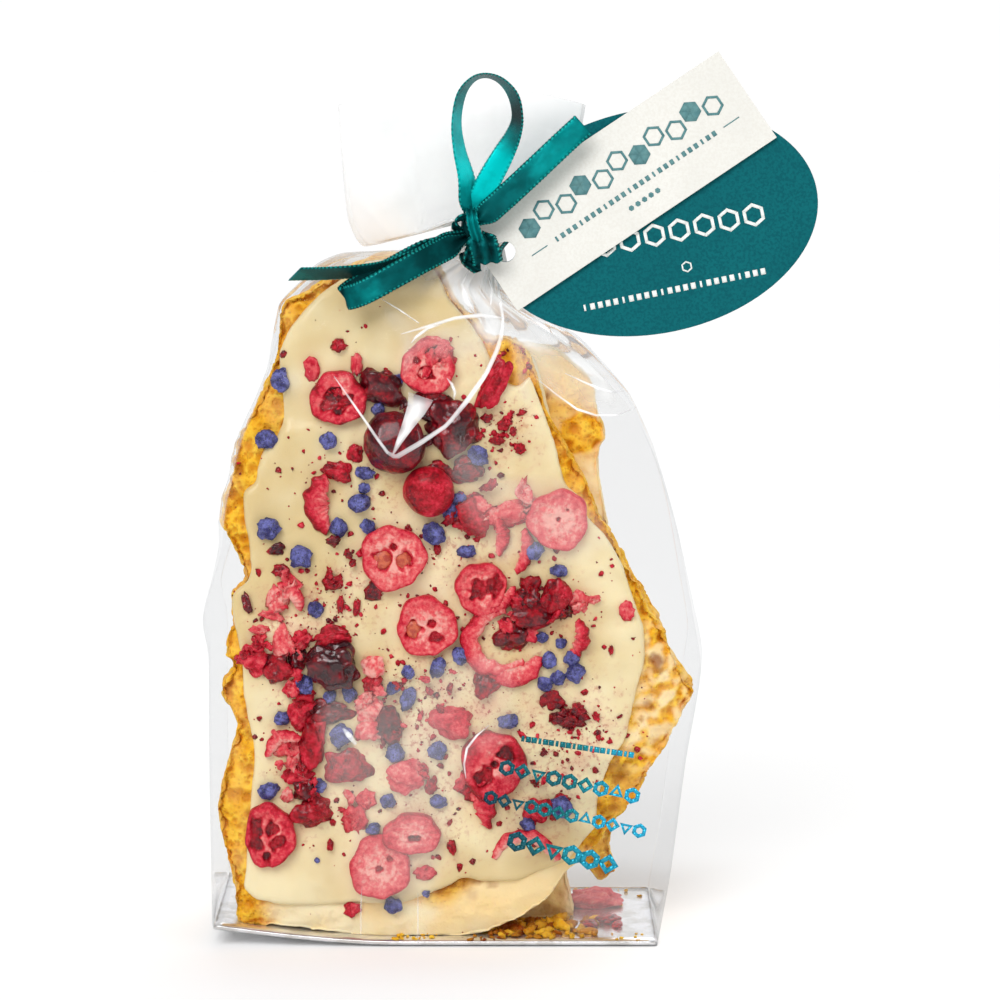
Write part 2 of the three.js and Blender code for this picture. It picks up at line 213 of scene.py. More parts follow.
def new_group(name, inputs, outputs, build):
    """A shader node group with named float inputs and outputs."""
    group = bpy.data.node_groups.new(name, "ShaderNodeTree")
    for title, value in inputs.items():
        socket = group.interface.new_socket(name=title, in_out="INPUT", socket_type="NodeSocketFloat")
        socket.default_value = value
    for title in outputs:
        group.interface.new_socket(name=title, in_out="OUTPUT", socket_type="NodeSocketFloat")
    build(group, group.nodes.new("NodeGroupInput"), group.nodes.new("NodeGroupOutput"))
    return group


def add(tree, kind, values=None, **settings):
    """Adds a node, sets its properties, and sets or links its inputs."""
    node = tree.nodes.new(kind)
    for key, value in settings.items():
        setattr(node, key, value)
    for key, value in (values or {}).items():
        if isinstance(value, bpy.types.NodeSocket):
            tree.links.new(value, node.inputs[key])
        else:
            node.inputs[key].default_value = value
    return node


def build_mottle(group, given, out):
    """Soft cloudy noise on Object coordinates, stretched between two levels."""
    place = add(group, "ShaderNodeTexCoord")
    cloud = add(group, "ShaderNodeTexNoise", {
        "Vector": place.outputs["Object"], "Scale": given.outputs["Scale"],
        "Detail": given.outputs["Detail"], "Roughness": 0.6,
    })
    level = add(group, "ShaderNodeMapRange", {
        "Value": cloud.outputs[0], "From Min": given.outputs["Low"], "From Max": given.outputs["High"],
    }, interpolation_type="SMOOTHSTEP")
    group.links.new(level.outputs[0], out.inputs["Mask"])
    group.links.new(cloud.outputs[0], out.inputs["Height"])


def build_pores(group, given, out):
    """Round bubbles: a mask of their hollows and a height for bumps."""
    place = add(group, "ShaderNodeTexCoord").outputs["Object"]
    scale = given.outputs["Scale"]
    wobble = add(group, "ShaderNodeTexNoise", {"Vector": place, "Scale": scale, "Detail": 2.0})
    moved = add(group, "ShaderNodeVectorMath", {
        0: wobble.outputs["Color"], 1: (0.0006, 0.0006, 0.0006)}, operation="MULTIPLY")
    spot = add(group, "ShaderNodeVectorMath", {0: place, 1: moved.outputs[0]}, operation="ADD")
    cells = add(group, "ShaderNodeTexVoronoi", {"Vector": spot.outputs[0], "Scale": scale})
    hollow = add(group, "ShaderNodeMapRange", {
        "Value": cells.outputs["Distance"], "From Min": given.outputs["Size"], "From Max": 0.0,
    }, interpolation_type="SMOOTHSTEP")
    height = add(group, "ShaderNodeMath", {0: 1.0, 1: hollow.outputs[0]}, operation="SUBTRACT")
    group.links.new(hollow.outputs[0], out.inputs["Mask"])
    group.links.new(height.outputs[0], out.inputs["Height"])


MOTTLE = new_group(
    "mottle", {"Scale": 100.0, "Detail": 3.0, "Low": 0.35, "High": 0.65}, ["Mask", "Height"], build_mottle)
PORES = new_group("pores", {"Scale": 600.0, "Size": 0.5}, ["Mask", "Height"], build_pores)


def srgb(value):
    """A 0 to 255 display value as linear light."""
    share = value / 255
    return share / 12.92 if share <= 0.04045 else ((share + 0.055) / 1.055) ** 2.4


def colour(shown):
    """A node's colour, from three display values of 0 to 255 or from linear light with its alpha."""
    return tuple(shown) if len(shown) == 4 else (*(srgb(value) for value in shown), 1.0)


def blend(tree, share, first, second):
    """A colour between two, by a mask or a number; each is a colour or a node's output."""
    node = add(tree, "ShaderNodeMix", {0: share}, data_type="RGBA")
    for place, value in ((6, first), (7, second)):
        if isinstance(value, bpy.types.NodeSocket):
            tree.links.new(value, node.inputs[place])
        else:
            node.inputs[place].default_value = colour(value)
    return node.outputs[2]


def maths(tree, operation, first, second=0.0, clamped=False):
    return add(
        tree, "ShaderNodeMath", {0: first, 1: second}, operation=operation, use_clamp=clamped).outputs[0]


class Finish:
    """A Principled material that is put together in a few plain steps."""

    def __init__(self, name, roughness, **sockets):
        self.material = bpy.data.materials.new(name)
        self.material.use_nodes = True
        self.tree = self.material.node_tree
        self.shader = self.tree.nodes["Principled BSDF"]
        for key, value in {"Roughness": roughness, **sockets}.items():
            self.shader.inputs[key.replace("_", " ")].default_value = value

    def mottle(self, scale, detail, low, high):
        """Soft clouds, as a Mask and a Height."""
        return add(self.tree, "ShaderNodeGroup", {
            "Scale": scale, "Detail": detail, "Low": low, "High": high}, node_tree=MOTTLE).outputs

    def pores(self, scale, size):
        """Round bubbles, as a Mask and a Height."""
        return add(self.tree, "ShaderNodeGroup", {"Scale": scale, "Size": size}, node_tree=PORES).outputs

    def attributes(self, *names):
        return [add(self.tree, "ShaderNodeAttribute", attribute_name=name).outputs["Fac"] for name in names]

    def blend(self, share, first, second):
        return blend(self.tree, share, first, second)

    def times(self, first, second, clamped=False):
        return maths(self.tree, "MULTIPLY", first, second, clamped)

    def plus(self, first, second, clamped=False):
        return maths(self.tree, "ADD", first, second, clamped)

    def minus(self, first, second):
        return maths(self.tree, "SUBTRACT", first, second)

    def swing(self, mask, amount):
        """A mask as a change to both sides of 0."""
        return self.times(self.minus(mask, 0.5), amount)

    def ramp(self, factor, stops):
        """A colour ramp: stops are (position, red, green, blue)."""
        node = add(self.tree, "ShaderNodeValToRGB", {0: factor})
        elements = node.color_ramp.elements
        while len(elements) < len(stops):
            elements.new(0.5)
        for element, (position, *rgb) in zip(elements, stops):
            element.position = position
            element.color = colour(rgb)
        return node.outputs[0]

    def set(self, socket, value):
        self.tree.links.new(value, self.shader.inputs[socket])

    def bump(self, height, strength, distance):
        node = add(self.tree, "ShaderNodeBump", {
            "Height": height, "Strength": strength, "Distance": distance,
        })
        self.set("Normal", node.outputs[0])


def honeycomb_finish():
    """Torn golden bubbles where crust is 0, pale smooth skin where it is 1, amber down in the pits."""
    made = Finish(
        "honeycomb", 0.5, Specular_IOR_Level=0.3, Specular_Tint=(1.0, 0.8, 0.4, 1.0),
        Subsurface_Weight=0.15, Subsurface_Radius=(1.0, 0.6, 0.2), Subsurface_Scale=0.0015)
    clouds, broad = made.mottle(260, 4, 0.4, 0.62), made.mottle(42, 2, 0.42, 0.6)
    pores = made.pores(980, 0.5)
    crust, burnt, pit = made.attributes("crust", "burnt", "pit")
    gold = made.blend(clouds["Mask"], (251, 200, 60), (240, 172, 32))
    torn = made.blend(made.times(pores["Mask"], 0.6), gold, (214, 136, 20))
    deep = made.blend(pit, torn, (212, 136, 22))
    skin = made.blend(broad["Mask"], (254, 236, 196), (250, 222, 168))
    made.set("Base Color", made.blend(burnt, made.blend(crust, deep, skin), (138, 56, 8)))
    fine = made.times(pores["Height"], made.minus(1.15, crust))
    made.bump(made.plus(fine, clouds["Height"]), 0.55, 0.0004)
    return made.material


def chocolate_finish():
    """Poured white chocolate with a soft sheen, cloudy tone and fruit dust where dust is high."""
    made = Finish(
        "white_chocolate", 0.3, Specular_IOR_Level=0.45,
        Subsurface_Weight=0.2, Subsurface_Radius=(1.0, 0.8, 0.5), Subsurface_Scale=0.0015)
    broad, fine = made.mottle(30, 3, 0.36, 0.66), made.mottle(420, 3, 0.4, 0.6)
    powder, cast = made.mottle(900, 6, 0.5, 0.68), made.mottle(160, 3, 0.35, 0.7)
    dust, = made.attributes("dust")
    base = made.blend(broad["Mask"], (246, 230, 186), (224, 199, 144))
    tinted = made.blend(made.times(dust, made.times(cast["Mask"], 0.55)), base, (222, 142, 128))
    made.set("Base Color", made.blend(made.times(dust, powder["Mask"], True), tinted, (176, 42, 52)))
    made.bump(made.plus(fine["Height"], broad["Height"]), 0.25, 0.0004)
    return made.material


def fruit_finish():
    """Dried fruit from pale pink flesh (tone 0) to nearly black glossy skin (tone 1)."""
    made = Finish(
        "dried_fruit", 0.5, Specular_IOR_Level=0.32, Specular_Tint=(1.0, 0.6, 0.6, 1.0),
        Subsurface_Weight=0.12, Subsurface_Radius=(1.0, 0.3, 0.25), Subsurface_Scale=0.001,
        Coat_Roughness=0.12)
    veins, patches = made.mottle(1300, 4, 0.4, 0.62), made.mottle(380, 2, 0.4, 0.62)
    tone, = made.attributes("tone")
    change = made.plus(made.swing(veins["Mask"], 0.14), made.swing(patches["Mask"], 0.12))
    made.set("Base Color", made.ramp(made.plus(tone, change, True), [
        (0.0, 244, 172, 160), (0.2, 232, 100, 102), (0.4, 212, 40, 62), (0.6, 164, 8, 26),
        (0.8, 92, 4, 18), (1.0, 36, 3, 10),
    ]))
    made.set("Roughness", made.minus(0.56, made.times(tone, 0.3)))
    made.set("Coat Weight", made.times(made.minus(tone, 0.5), 2.2, True))
    made.bump(made.plus(veins["Height"], patches["Height"]), 0.5, 0.0005)
    return made.material


def violet_finish():
    """Sugared violet lumps: dark between the grains, bright where sugar catches the light."""
    made = Finish("violet_sugar", 0.5, Specular_IOR_Level=0.3)
    clouds, grains = made.mottle(520, 4, 0.36, 0.64), made.pores(1700, 0.45)
    body = made.blend(clouds["Mask"], (52, 50, 104), (112, 114, 182))
    made.set("Base Color", made.blend(made.times(grains["Mask"], 0.6), body, (176, 178, 216)))
    made.bump(made.plus(clouds["Height"], grains["Mask"]), 1.0, 0.0007)
    return made.material


def ribbon_finish():
    """Teal satin with painted shade in its gathers (shade 0) and painted highlight on its legs (shade 1),
    stitched at both edges.
    """
    made = Finish("teal_satin", 0.3, Metallic=0.5, Specular_IOR_Level=0.06)
    across, along, shade = made.attributes("across", "along", "shade")
    threads = maths(made.tree, "SINE", made.times(across, 150.0))
    edge = maths(made.tree, "GREATER_THAN", maths(made.tree, "ABSOLUTE", across), 0.8)
    stitch = maths(made.tree, "GREATER_THAN", maths(made.tree, "SINE", made.times(along, 6.3)), 0.0)
    clouds = made.mottle(160, 3, 0.35, 0.65)
    # The shade attribute is painted light: this ramp paints shade into the gathers and highlight onto the
    # legs.
    satin = made.ramp(made.plus(shade, made.swing(clouds["Mask"], 0.16), True), [
        (0.0, 0, 32, 34), (0.35, 0, 84, 86), (0.7, 0, 146, 146), (1.0, 0, 204, 204),
    ])
    stitches = made.blend(stitch, (0, 66, 66), (40, 186, 178))
    made.set("Base Color", made.blend(made.times(edge, 0.45), satin, stitches))
    made.bump(made.plus(made.times(threads, 0.12), made.times(edge, stitch)), 0.4, 0.0002)
    return made.material


def card_finish(name, first, second):
    """Uncoated card: fine fibres and a faint cloudy tone."""
    made = Finish(name, 0.85, Specular_IOR_Level=0.12)
    fibres, clouds = made.mottle(1500, 5, 0.4, 0.62), made.mottle(60, 2, 0.3, 0.7)
    body = made.blend(fibres["Mask"], first, second)
    shade = tuple(0.94 * value for value in second)
    made.set("Base Color", made.blend(made.times(clouds["Mask"], 0.3), body, shade))
    made.bump(fibres["Height"], 0.25, 0.0001)
    return made.material


def foil_finish():
    """Foil print that turns from deep teal to bright cyan towards the right."""
    made = Finish("teal_foil", 0.25, Metallic=0.5)
    place = add(made.tree, "ShaderNodeTexCoord")
    split = add(made.tree, "ShaderNodeSeparateXYZ", {0: place.outputs["Object"]})
    clouds = made.mottle(90, 2, 0.3, 0.7)
    share = add(made.tree, "ShaderNodeMapRange", {
        "Value": split.outputs[0], "From Min": 0.012, "From Max": 0.05})
    made.set("Base Color", made.ramp(made.plus(share.outputs[0], made.times(clouds["Mask"], 0.25), True), [
        (0.0, 4, 40, 66), (0.4, 0, 88, 100), (0.7, 0, 128, 136), (1.0, 30, 170, 210),
    ]))
    return made.material


def clouded_finish(name, roughness, cloud, first, second, bump=None, **sockets):
    """Something plain with a faint cloudy tone: amber seeds, matt ink, the foil on the bottom card."""
    made = Finish(name, roughness, **sockets)
    clouds = made.mottle(*cloud)
    made.set("Base Color", made.blend(clouds["Mask"], first, second))
    if bump:
        made.bump(clouds["Height"], *bump)
    return made.material


def film_finish(name, tint, edge_tint, reflection_tint, painted_reflection_low, painted_reflection_high, roughness):
    """Clear film: greyer edge-on, lights on its slopes, a painted reflection where painted_reflection is high
    (a diffuse layer seen by the camera only), whiter where pale is.
    """
    material = bpy.data.materials.new(name)
    material.use_nodes = True
    tree = material.node_tree
    tree.nodes.clear()
    seen = add(tree, "ShaderNodeLightPath").outputs["Is Camera Ray"]
    facing = add(tree, "ShaderNodeLayerWeight", {"Blend": 0.3}).outputs["Facing"]
    grey = blend(tree, maths(tree, "POWER", facing, 2.0), (*tint, 1.0), (*edge_tint, 1.0))
    clear = add(tree, "ShaderNodeBsdfTransparent", {"Color": grey})
    mottle = add(tree, "ShaderNodeGroup", {"Scale": 60}, node_tree=MOTTLE)
    bump = add(tree, "ShaderNodeBump", {
        "Height": mottle.outputs["Height"], "Strength": 0.15, "Distance": 0.001})
    mirror = add(tree, "ShaderNodeBsdfGlossy", {
        "Color": (1.0, 1.0, 1.0, 1.0), "Roughness": roughness, "Normal": bump.outputs[0],
    })
    fresnel = add(tree, "ShaderNodeFresnel", {"IOR": 1.5})
    slope = add(tree, "ShaderNodeMapRange", {"Value": fresnel.outputs[0], "From Min": 0.037, "To Max": 0.6})
    shine = maths(tree, "MULTIPLY", slope.outputs[0], seen, True)
    film = add(tree, "ShaderNodeMixShader", {0: shine, 1: clear.outputs[0], 2: mirror.outputs[0]})
    pale, painted_reflection = (
        add(tree, "ShaderNodeAttribute", attribute_name=name).outputs["Fac"] for name in ("pale", "painted_reflection"))
    # This diffuse layer is the painted reflection; pale paints it whiter.
    tone = blend(tree, pale, (*reflection_tint, 1.0), (1.0, 1.0, 1.0, 1.0))
    reflection_paint = add(tree, "ShaderNodeBsdfDiffuse", {"Color": tone})
    reflection_strength = add(tree, "ShaderNodeMapRange", {"Value": painted_reflection, "To Min": painted_reflection_low, "To Max": painted_reflection_high})
    share = maths(tree, "MULTIPLY", reflection_strength.outputs[0], seen, True)
    whole = add(tree, "ShaderNodeMixShader", {0: share, 1: film.outputs[0], 2: reflection_paint.outputs[0]})
    add(tree, "ShaderNodeOutputMaterial", {"Surface": whole.outputs[0]})
    return material


INK_CLOUDS = (500, 3, 0.35, 0.65)
HONEYCOMB = honeycomb_finish()
CHOCOLATE = chocolate_finish()
FRUIT = fruit_finish()
SEED = clouded_finish("seed_amber", 0.4, (900, 3, 0.4, 0.6), (208, 104, 70), (178, 66, 52), (0.5, 0.0003))
VIOLET = violet_finish()
SATIN = ribbon_finish()
CREAM_CARD = card_finish("cream_card", (225, 224, 218), (220, 218, 211))
TEAL_CARD = card_finish("teal_card", (6, 98, 104), (2, 84, 92))
FOIL = foil_finish()
TEAL_INK, PALE_INK = (
    clouded_finish(name, 0.7, INK_CLOUDS, first, second, Specular_IOR_Level=0.2) for name, first, second in (
        ("teal_ink", (96, 140, 142), (82, 128, 132)), ("pale_ink", (238, 240, 236), (228, 232, 228))))
# Clear film with a grey painted reflection, and the folds' film with a white painted highlight.
FILM = film_finish(
    "clear_film", (0.918, 0.92, 0.922), (0.85, 0.855, 0.86), (0.66, 0.66, 0.64), 0.0, 0.8, 0.08)
FOLD_FILM = film_finish(
    "folded_film", (0.93, 0.93, 0.94), (0.86, 0.86, 0.88), (1.0, 1.0, 1.0), 0.05, 1.0, 0.12)
SILVER = clouded_finish(
    "silver_foil", 0.24, (120, 4, 0.42, 0.6), (242, 242, 245), (218, 216, 214), (0.12, 0.0003),
    Metallic=0.85, Specular_IOR_Level=0.4)


# The underside of the bag is flat from here to the right, and curls up to the left.
BASE_FLAT_FROM = -10
BASE_LEFT = -55
BASE_CURL = 4.3


def curl(x):
    """How far the underside rises at x."""
    along = max(0.0, (BASE_FLAT_FROM - x) / (BASE_FLAT_FROM - BASE_LEFT))
    return BASE_CURL * along ** 1.6


# The front shard. Its front leans back a little, with the top nearer the neck.

def shard_front(z):
    """Depth of the front shard's coated face at a height."""
    return -21.2 + 0.043 * z


def shard_core(z):
    """Depth of the toffee's own front, under the coating."""
    return shard_front(z) + 1.6


SHARD_OUTLINE = [
    (387, 252), (435, 262), (446, 280), (450, 293), (459, 305), (476, 321), (486, 340), (505, 339),
    (522, 346), (529, 358), (536, 375), (545, 410), (554, 429), (569, 452), (581, 475), (592, 496),
    (603, 524), (612, 537), (628, 568), (644, 595), (660, 625), (674, 657), (697, 692), (681, 716),
    (667, 745), (654, 765), (629, 806), (609, 826), (590, 855), (567, 872), (547, 901), (520, 918),
    (485, 933), (440, 941), (396, 942), (361, 937), (300, 929), (240, 926), (236, 917), (232, 886),
    (225, 851), (214, 810), (223, 781), (233, 742), (238, 728), (234, 712), (221, 698), (220, 686),
    (232, 672), (226, 652), (233, 622), (230, 594), (247, 581), (229, 545), (220, 528), (223, 500),
    (232, 468), (239, 438), (247, 423), (262, 391), (277, 360), (279, 321), (283, 304), (340, 272),
    (361, 263),
]
COATING_OUTLINE = [
    (392, 256), (433, 268), (443, 284), (447, 297), (457, 309), (472, 325), (483, 342), (490, 358),
    (500, 380), (518, 388), (530, 376), (540, 402), (547, 421), (556, 445), (562, 473), (566, 486),
    (583, 500), (587, 518), (606, 536), (614, 549), (624, 568), (629, 586), (638, 611), (645, 630),
    (646, 660), (638, 687), (632, 714), (626, 741), (612, 760), (604, 780), (598, 800), (597, 826),
    (583, 843), (567, 863), (540, 872), (520, 882), (481, 883), (463, 878), (450, 887), (425, 897),
    (400, 906), (352, 904), (311, 908), (280, 906), (254, 901), (241, 888), (245, 879), (246, 847),
    (250, 799), (254, 761), (253, 745), (248, 723), (243, 696), (242, 661), (236, 636), (231, 611),
    (231, 595), (248, 582), (251, 571), (248, 541), (243, 518), (242, 492), (257, 482), (257, 468),
    (263, 449), (276, 438), (284, 419), (283, 401), (279, 375), (279, 352), (287, 332), (304, 310),
    (321, 293), (352, 272), (368, 260),
]
SECOND_OUTLINE = [
    (470, 350), (527, 345), (556, 350), (569, 361), (586, 373), (596, 390), (597, 411), (608, 439),
    (599, 449), (599, 472), (604, 506), (608, 525), (640, 640), (655, 700), (640, 770), (613, 828),
    (609, 841), (616, 873), (598, 884), (588, 864), (570, 850), (566, 872), (572, 900), (576, 918),
    (520, 921), (420, 915), (300, 898), (280, 780), (300, 600), (290, 520), (330, 430), (400, 380),
]
SHARD_THICK = 12.5
SHARD_COATING = 3.4
BACK_COATING = 3
SECOND_FRONT = -4.5
SECOND_THICK = 11
THIRD_FRONT = 9
THIRD_THICK = 10.5
THIRD_OUTLINE = [
    (-44, 5), (-20, 2.5), (8, 1.6), (21, 1.6), (26, 12), (33, 22), (40, 34), (48, 48), (45, 66), (36, 84),
    (38, 100), (22, 118), (4, 112), (-12, 124), (-30, 113), (-34, 96), (-44, 84), (-40, 60), (-48, 44),
    (-43, 24),
]


def outline_solid(points, front, back):
    """A flat solid between two depths from an outline of (x, z) points; depths are rules of z."""
    bm = bmesh.new()
    for vert in drawn_out(bm, [(x, front(z), z) for x, z in points]):
        vert.co.y = back(vert.co.z)
    return facing_out(bm)


def in_photo(outline, depth):
    """The (x, z) points where an outline of pixels lies at a depth."""
    spots = [seen_at(u, w, depth) for u, w in outline]
    return [(spot.x, spot.z) for spot in spots]


def near_any(x, z, spots):
    """How close a point lies to any of the round spots (x, z, radius, strength), 0 to 1."""
    share = 0.0
    for spot_x, spot_z, radius, strength in spots:
        gap = math.hypot(x - spot_x, z - spot_z) / radius * (1 + 0.6 * noise_at((x, 0, z), 1.8, radius))
        share = max(share, strength * (1 - smooth(0.5, 1.3, gap)))
    return share


def spots_in_photo(spots, depth):
    """Round spots given in pixels (u, w, radius, strength), placed at a depth."""
    found = []
    for u, w, radius, strength in spots:
        point = seen_at(u, w, depth)
        found.append((point.x, point.z, radius * PIXEL, strength))
    return found


def edge_distance(outline):
    """A rule that tells how far a point (x, z) is from an outline."""
    stations = []
    for (x0, z0), (x1, z1) in zip(outline, outline[1:] + outline[:1]):
        steps = max(1, int(math.hypot(x1 - x0, z1 - z0)))
        stations.extend((mix(x0, x1, i / steps), 0, mix(z0, z1, i / steps)) for i in range(steps))
    search = KDTree(len(stations))
    for number, station in enumerate(stations):
        search.insert(station, number)
    search.balance()
    return lambda x, z: search.find((x, 0, z))[2]


CARD_TOP = 1.05


def settle(bm):
    """Flattens what would sink into the bottom card against the card's top."""
    for vert in bm.verts:
        vert.co.z = max(vert.co.z, CARD_TOP + curl(vert.co.x))
    return bm


# Grid of the shards' and coatings' meshes, and how broad the finely meshed torn rim is.
TOFFEE_GRAIN = 1.27
COATING_GRAIN = 0.95
TORN_RIM = 8


def toffee(outline, front, thick, seed, pale, amber=()):
    """A shard of honeycomb toffee: sloping torn golden edges full of pits, and paler skins.

    pale(x, z) tells how much of the surface is smooth skin; amber lists burnt spots."""
    bm = remeshed(outline_solid(outline, front, lambda z: front(z) + thick), TOFFEE_GRAIN)
    softened(bm, 1)
    gap = edge_distance(outline)
    middles = ((face, face.calc_center_median()) for face in bm.faces)
    rim = {edge for face, at in middles if gap(at.x, at.z) < TORN_RIM for edge in face.edges}
    bmesh.ops.subdivide_edges(bm, edges=list(rim), cuts=2, use_grid_fill=True)
    bm.normal_update()
    crust, burnt, pit = (bm.verts.layers.float.new(name) for name in ("crust", "burnt", "pit"))
    moves = []
    for vert in bm.verts:
        at = vert.co
        middle = front(at.z) + thick / 2
        skin = clamp(pale(at.x, at.z) + 0.2 * noise_at(at, 6, seed + 7))
        holes = max(pits_at(at, 3.6, seed), 0.7 * pits_at(at, 1.8, seed + 5))
        depth = 1.25 * holes * (1 - 0.92 * skin)
        rough = 1.0 * noise_at(at, 9, seed) + 0.55 * noise_at(at, 3, seed + 2)
        slope = 2.6 * (1 - smooth(0, 5.5, gap(at.x, at.z)))
        slope = slope * (0.7 + 0.6 * noise_at(at, 7, seed + 4)) * (1 - 0.6 * skin)
        inward = Vector((0, slope if at.y < middle else -slope, 0)) * smooth(0.3, 0.8, abs(vert.normal.y))
        vert[crust] = skin
        vert[pit] = min(1.0, 1.2 * holes) * (1 - skin)
        scorched = 0.2 * smooth(0.3, 0.7, noise_at(at, 5, seed + 11)) * (1 - skin) * (1 - skin)
        vert[burnt] = min(1.0, scorched + 0.8 * near_any(at.x, at.z, amber))
        moves.append((vert, vert.normal * (rough * mix(1, 0.35, skin) - depth) + inward))
    shifted(moves)
    return settle(bm)


def coating(outline, front, thick, seed, dusted=(), facing=-1):
    """A poured sheet of white chocolate with a rounded, slightly raised edge."""
    bm = remeshed(outline_solid(outline, front, lambda z: front(z) - facing * thick), COATING_GRAIN)
    softened(bm, 4)
    dust = bm.verts.layers.float.new("dust")
    moves = []
    for vert in bm.verts:
        at = vert.co
        swell = 0.9 * noise_at(at, 24, seed) + 0.65 * noise_at(at, 10, seed + 3)
        ridge = 1 - 2.4 * abs(noise_at((at.x, 0, at.z * 1.5), 17, seed + 9))
        drip = 0.22 * noise_at((at.x * 1.4, 0, at.z), 4.5, seed + 13)
        outer = smooth(0.2, 0.9, vert.normal.y * facing)
        vert[dust] = near_any(at.x, at.z, dusted) * (0.75 + 0.5 * noise_at(at, 8, seed + 5))
        moves.append((vert, Vector((0, facing, 0)) * (swell + 0.6 * max(0.0, ridge) + drip) * outer))
    shifted(moves)
    return bm


def tree_of(*meshes):
    """One search tree of several bmeshes in millimetres."""
    joined = bmesh.new()
    for bm in meshes:
        absorb(joined, bm.copy())
    tree = BVHTree.FromBMesh(joined)
    joined.free()
    return tree


DUST = [
    (430, 712, 62, 0.9), (462, 690, 52, 0.85), (345, 600, 42, 0.5), (500, 760, 60, 0.6), (565, 735, 60, 0.75),
    (312, 705, 42, 0.7), (395, 470, 50, 0.4), (505, 428, 36, 0.6), (520, 622, 62, 0.65), (430, 800, 62, 0.5),
    (292, 625, 44, 0.6), (470, 540, 52, 0.5), (545, 805, 52, 0.45), (300, 800, 45, 0.5), (500, 355, 40, 0.3),
]
AMBER = [
    (428, 893, 6, 0.7), (440, 889, 7, 0.85), (452, 884, 7, 0.9), (464, 880, 7, 0.9), (477, 880, 6, 0.75),
    (492, 884, 5, 0.5), (617, 772, 12, 0.7), (632, 757, 8, 0.5), (657, 661, 8, 0.95), (659, 671, 5, 0.8),
    (648, 705, 7, 0.7), (640, 720, 4, 0.5), (606, 812, 9, 0.5), (239, 470, 6, 0.5), (236, 467, 5, 0.6),
    (250, 735, 6, 0.4), (208, 697, 6, 0.5), (236, 905, 6, 0.4), (470, 893, 6, 0.3), (236, 868, 5, 0.4),
]
BARE_SKIN_TOP = 11
front_amber = spots_in_photo(AMBER, shard_core)
tip = seen_at(668, 700, shard_core)


def front_pale(x, z):
    """The front shard's skin: smooth low down, patchy at the right tip, torn elsewhere."""
    top = BARE_SKIN_TOP + 12 * smooth(0, 22, x)
    low = 1 - smooth(top - 3, top + 2, z + 2 * noise_at((x, 0, z), 14, 3.0))
    patches = smooth(-0.4, 0.4, noise_at((x, 0, z), 2.2, 9.0))
    at_tip = 0.66 * patches * (1 - smooth(12, 26, math.hypot(x - tip.x, z - tip.z)))
    return max(0.97 * low * smooth(-46, -36, x), at_tip, 0.06)


def second_face(z):
    return SECOND_FRONT


def third_face(z):
    return THIRD_FRONT


def third_back(z):
    return THIRD_FRONT + THIRD_THICK + 1.2


SECOND_COATING = [
    (480, 358), (530, 352), (536, 360), (541, 375), (546, 396), (550, 412), (556, 450), (560, 520),
    (600, 640), (620, 700), (600, 770), (560, 840), (400, 890), (310, 880), (295, 780), (312, 600),
    (340, 440),
]
SECOND_AMBER = [(547, 396, 5, 0.95)]
golden = seen_at(580, 434, second_face)


def second_pale(x, z):
    """Skin on the second shard, but for the golden break near its top and a few torn patches."""
    gap = math.hypot(x - golden.x, (z - golden.z) * 1.15) * (1 + 0.25 * noise_at((x, 0, z), 4, 2.0))
    torn = smooth(0.1, 0.35, noise_at((x, 0, z), 17, 5.0))
    return 0.76 * smooth(5.0, 6.6, gap) * (1 - 0.8 * torn * smooth(140, 125, z))


front_toffee = toffee(
    in_photo(SHARD_OUTLINE, shard_core), shard_core, SHARD_THICK, 3.0, front_pale, front_amber)
front_coating = coating(
    in_photo(COATING_OUTLINE, shard_front), shard_front, SHARD_COATING, 8.0,
    spots_in_photo(DUST, shard_front))
front_tree = tree_of(front_toffee, front_coating)
second_toffee = toffee(
    in_photo(SECOND_OUTLINE, second_face), second_face, SECOND_THICK, 13.0, second_pale,
    spots_in_photo(SECOND_AMBER, second_face))
second_coating = coating(
    in_photo(SECOND_COATING, second_face), lambda z: SECOND_FRONT - 1.5, BACK_COATING, 21.0)
third_toffee = toffee(
    THIRD_OUTLINE, third_face, THIRD_THICK, 31.0,
    lambda x, z: 0.1 + 0.8 * smooth(0.1, 0.5, noise_at((x, 0, z), 30)))
third_coating = coating(
    [(0.9 * x, 62 + 0.9 * (z - 62)) for x, z in THIRD_OUTLINE], third_back, BACK_COATING, 27.0, facing=1)
back_tree = tree_of(third_toffee, third_coating)


# Toppings. Each is given by the pixel it is seen at, its half width and half height in pixels and,
# where it matters, how far it is turned and how dark it is.

def seat(u, w, lift=0.0):
    """Where a topping lies: its point on the front shard and the way the surface faces there."""
    point, normal, _, _ = front_tree.ray_cast(CAMERA, sight(u, w))
    if point is None:
        return None
    facing = (normal + Vector((0, -1.5, 0))).normalized()
    return point + facing * lift, facing


def lying(point, facing, turn, tilt, chance):
    """A matrix that lays a piece made in its own x, y plane on a surface, turned and tilted."""
    lean = Matrix.Rotation(tilt * chance.uniform(-1, 1), 4, "X") @ Matrix.Rotation(
        tilt * chance.uniform(-1, 1), 4, "Y")
    stand = facing.to_track_quat("Z", "Y").to_matrix().to_4x4()
    return Matrix.Translation(point) @ stand @ lean @ Matrix.Rotation(math.radians(turn), 4, "Z")


def wrinkle(at, size, seed):
    """Sharp creases, 0 in between and 1 along their crests, as dried skin has."""
    return max(0.0, 1 - 3 * abs(noise_at(at, size, seed)))


def rim_point(u, reach=1.0):
    """The point at share u round a circle."""
    return reach * math.cos(u * 2 * math.pi), reach * math.sin(u * 2 * math.pi)


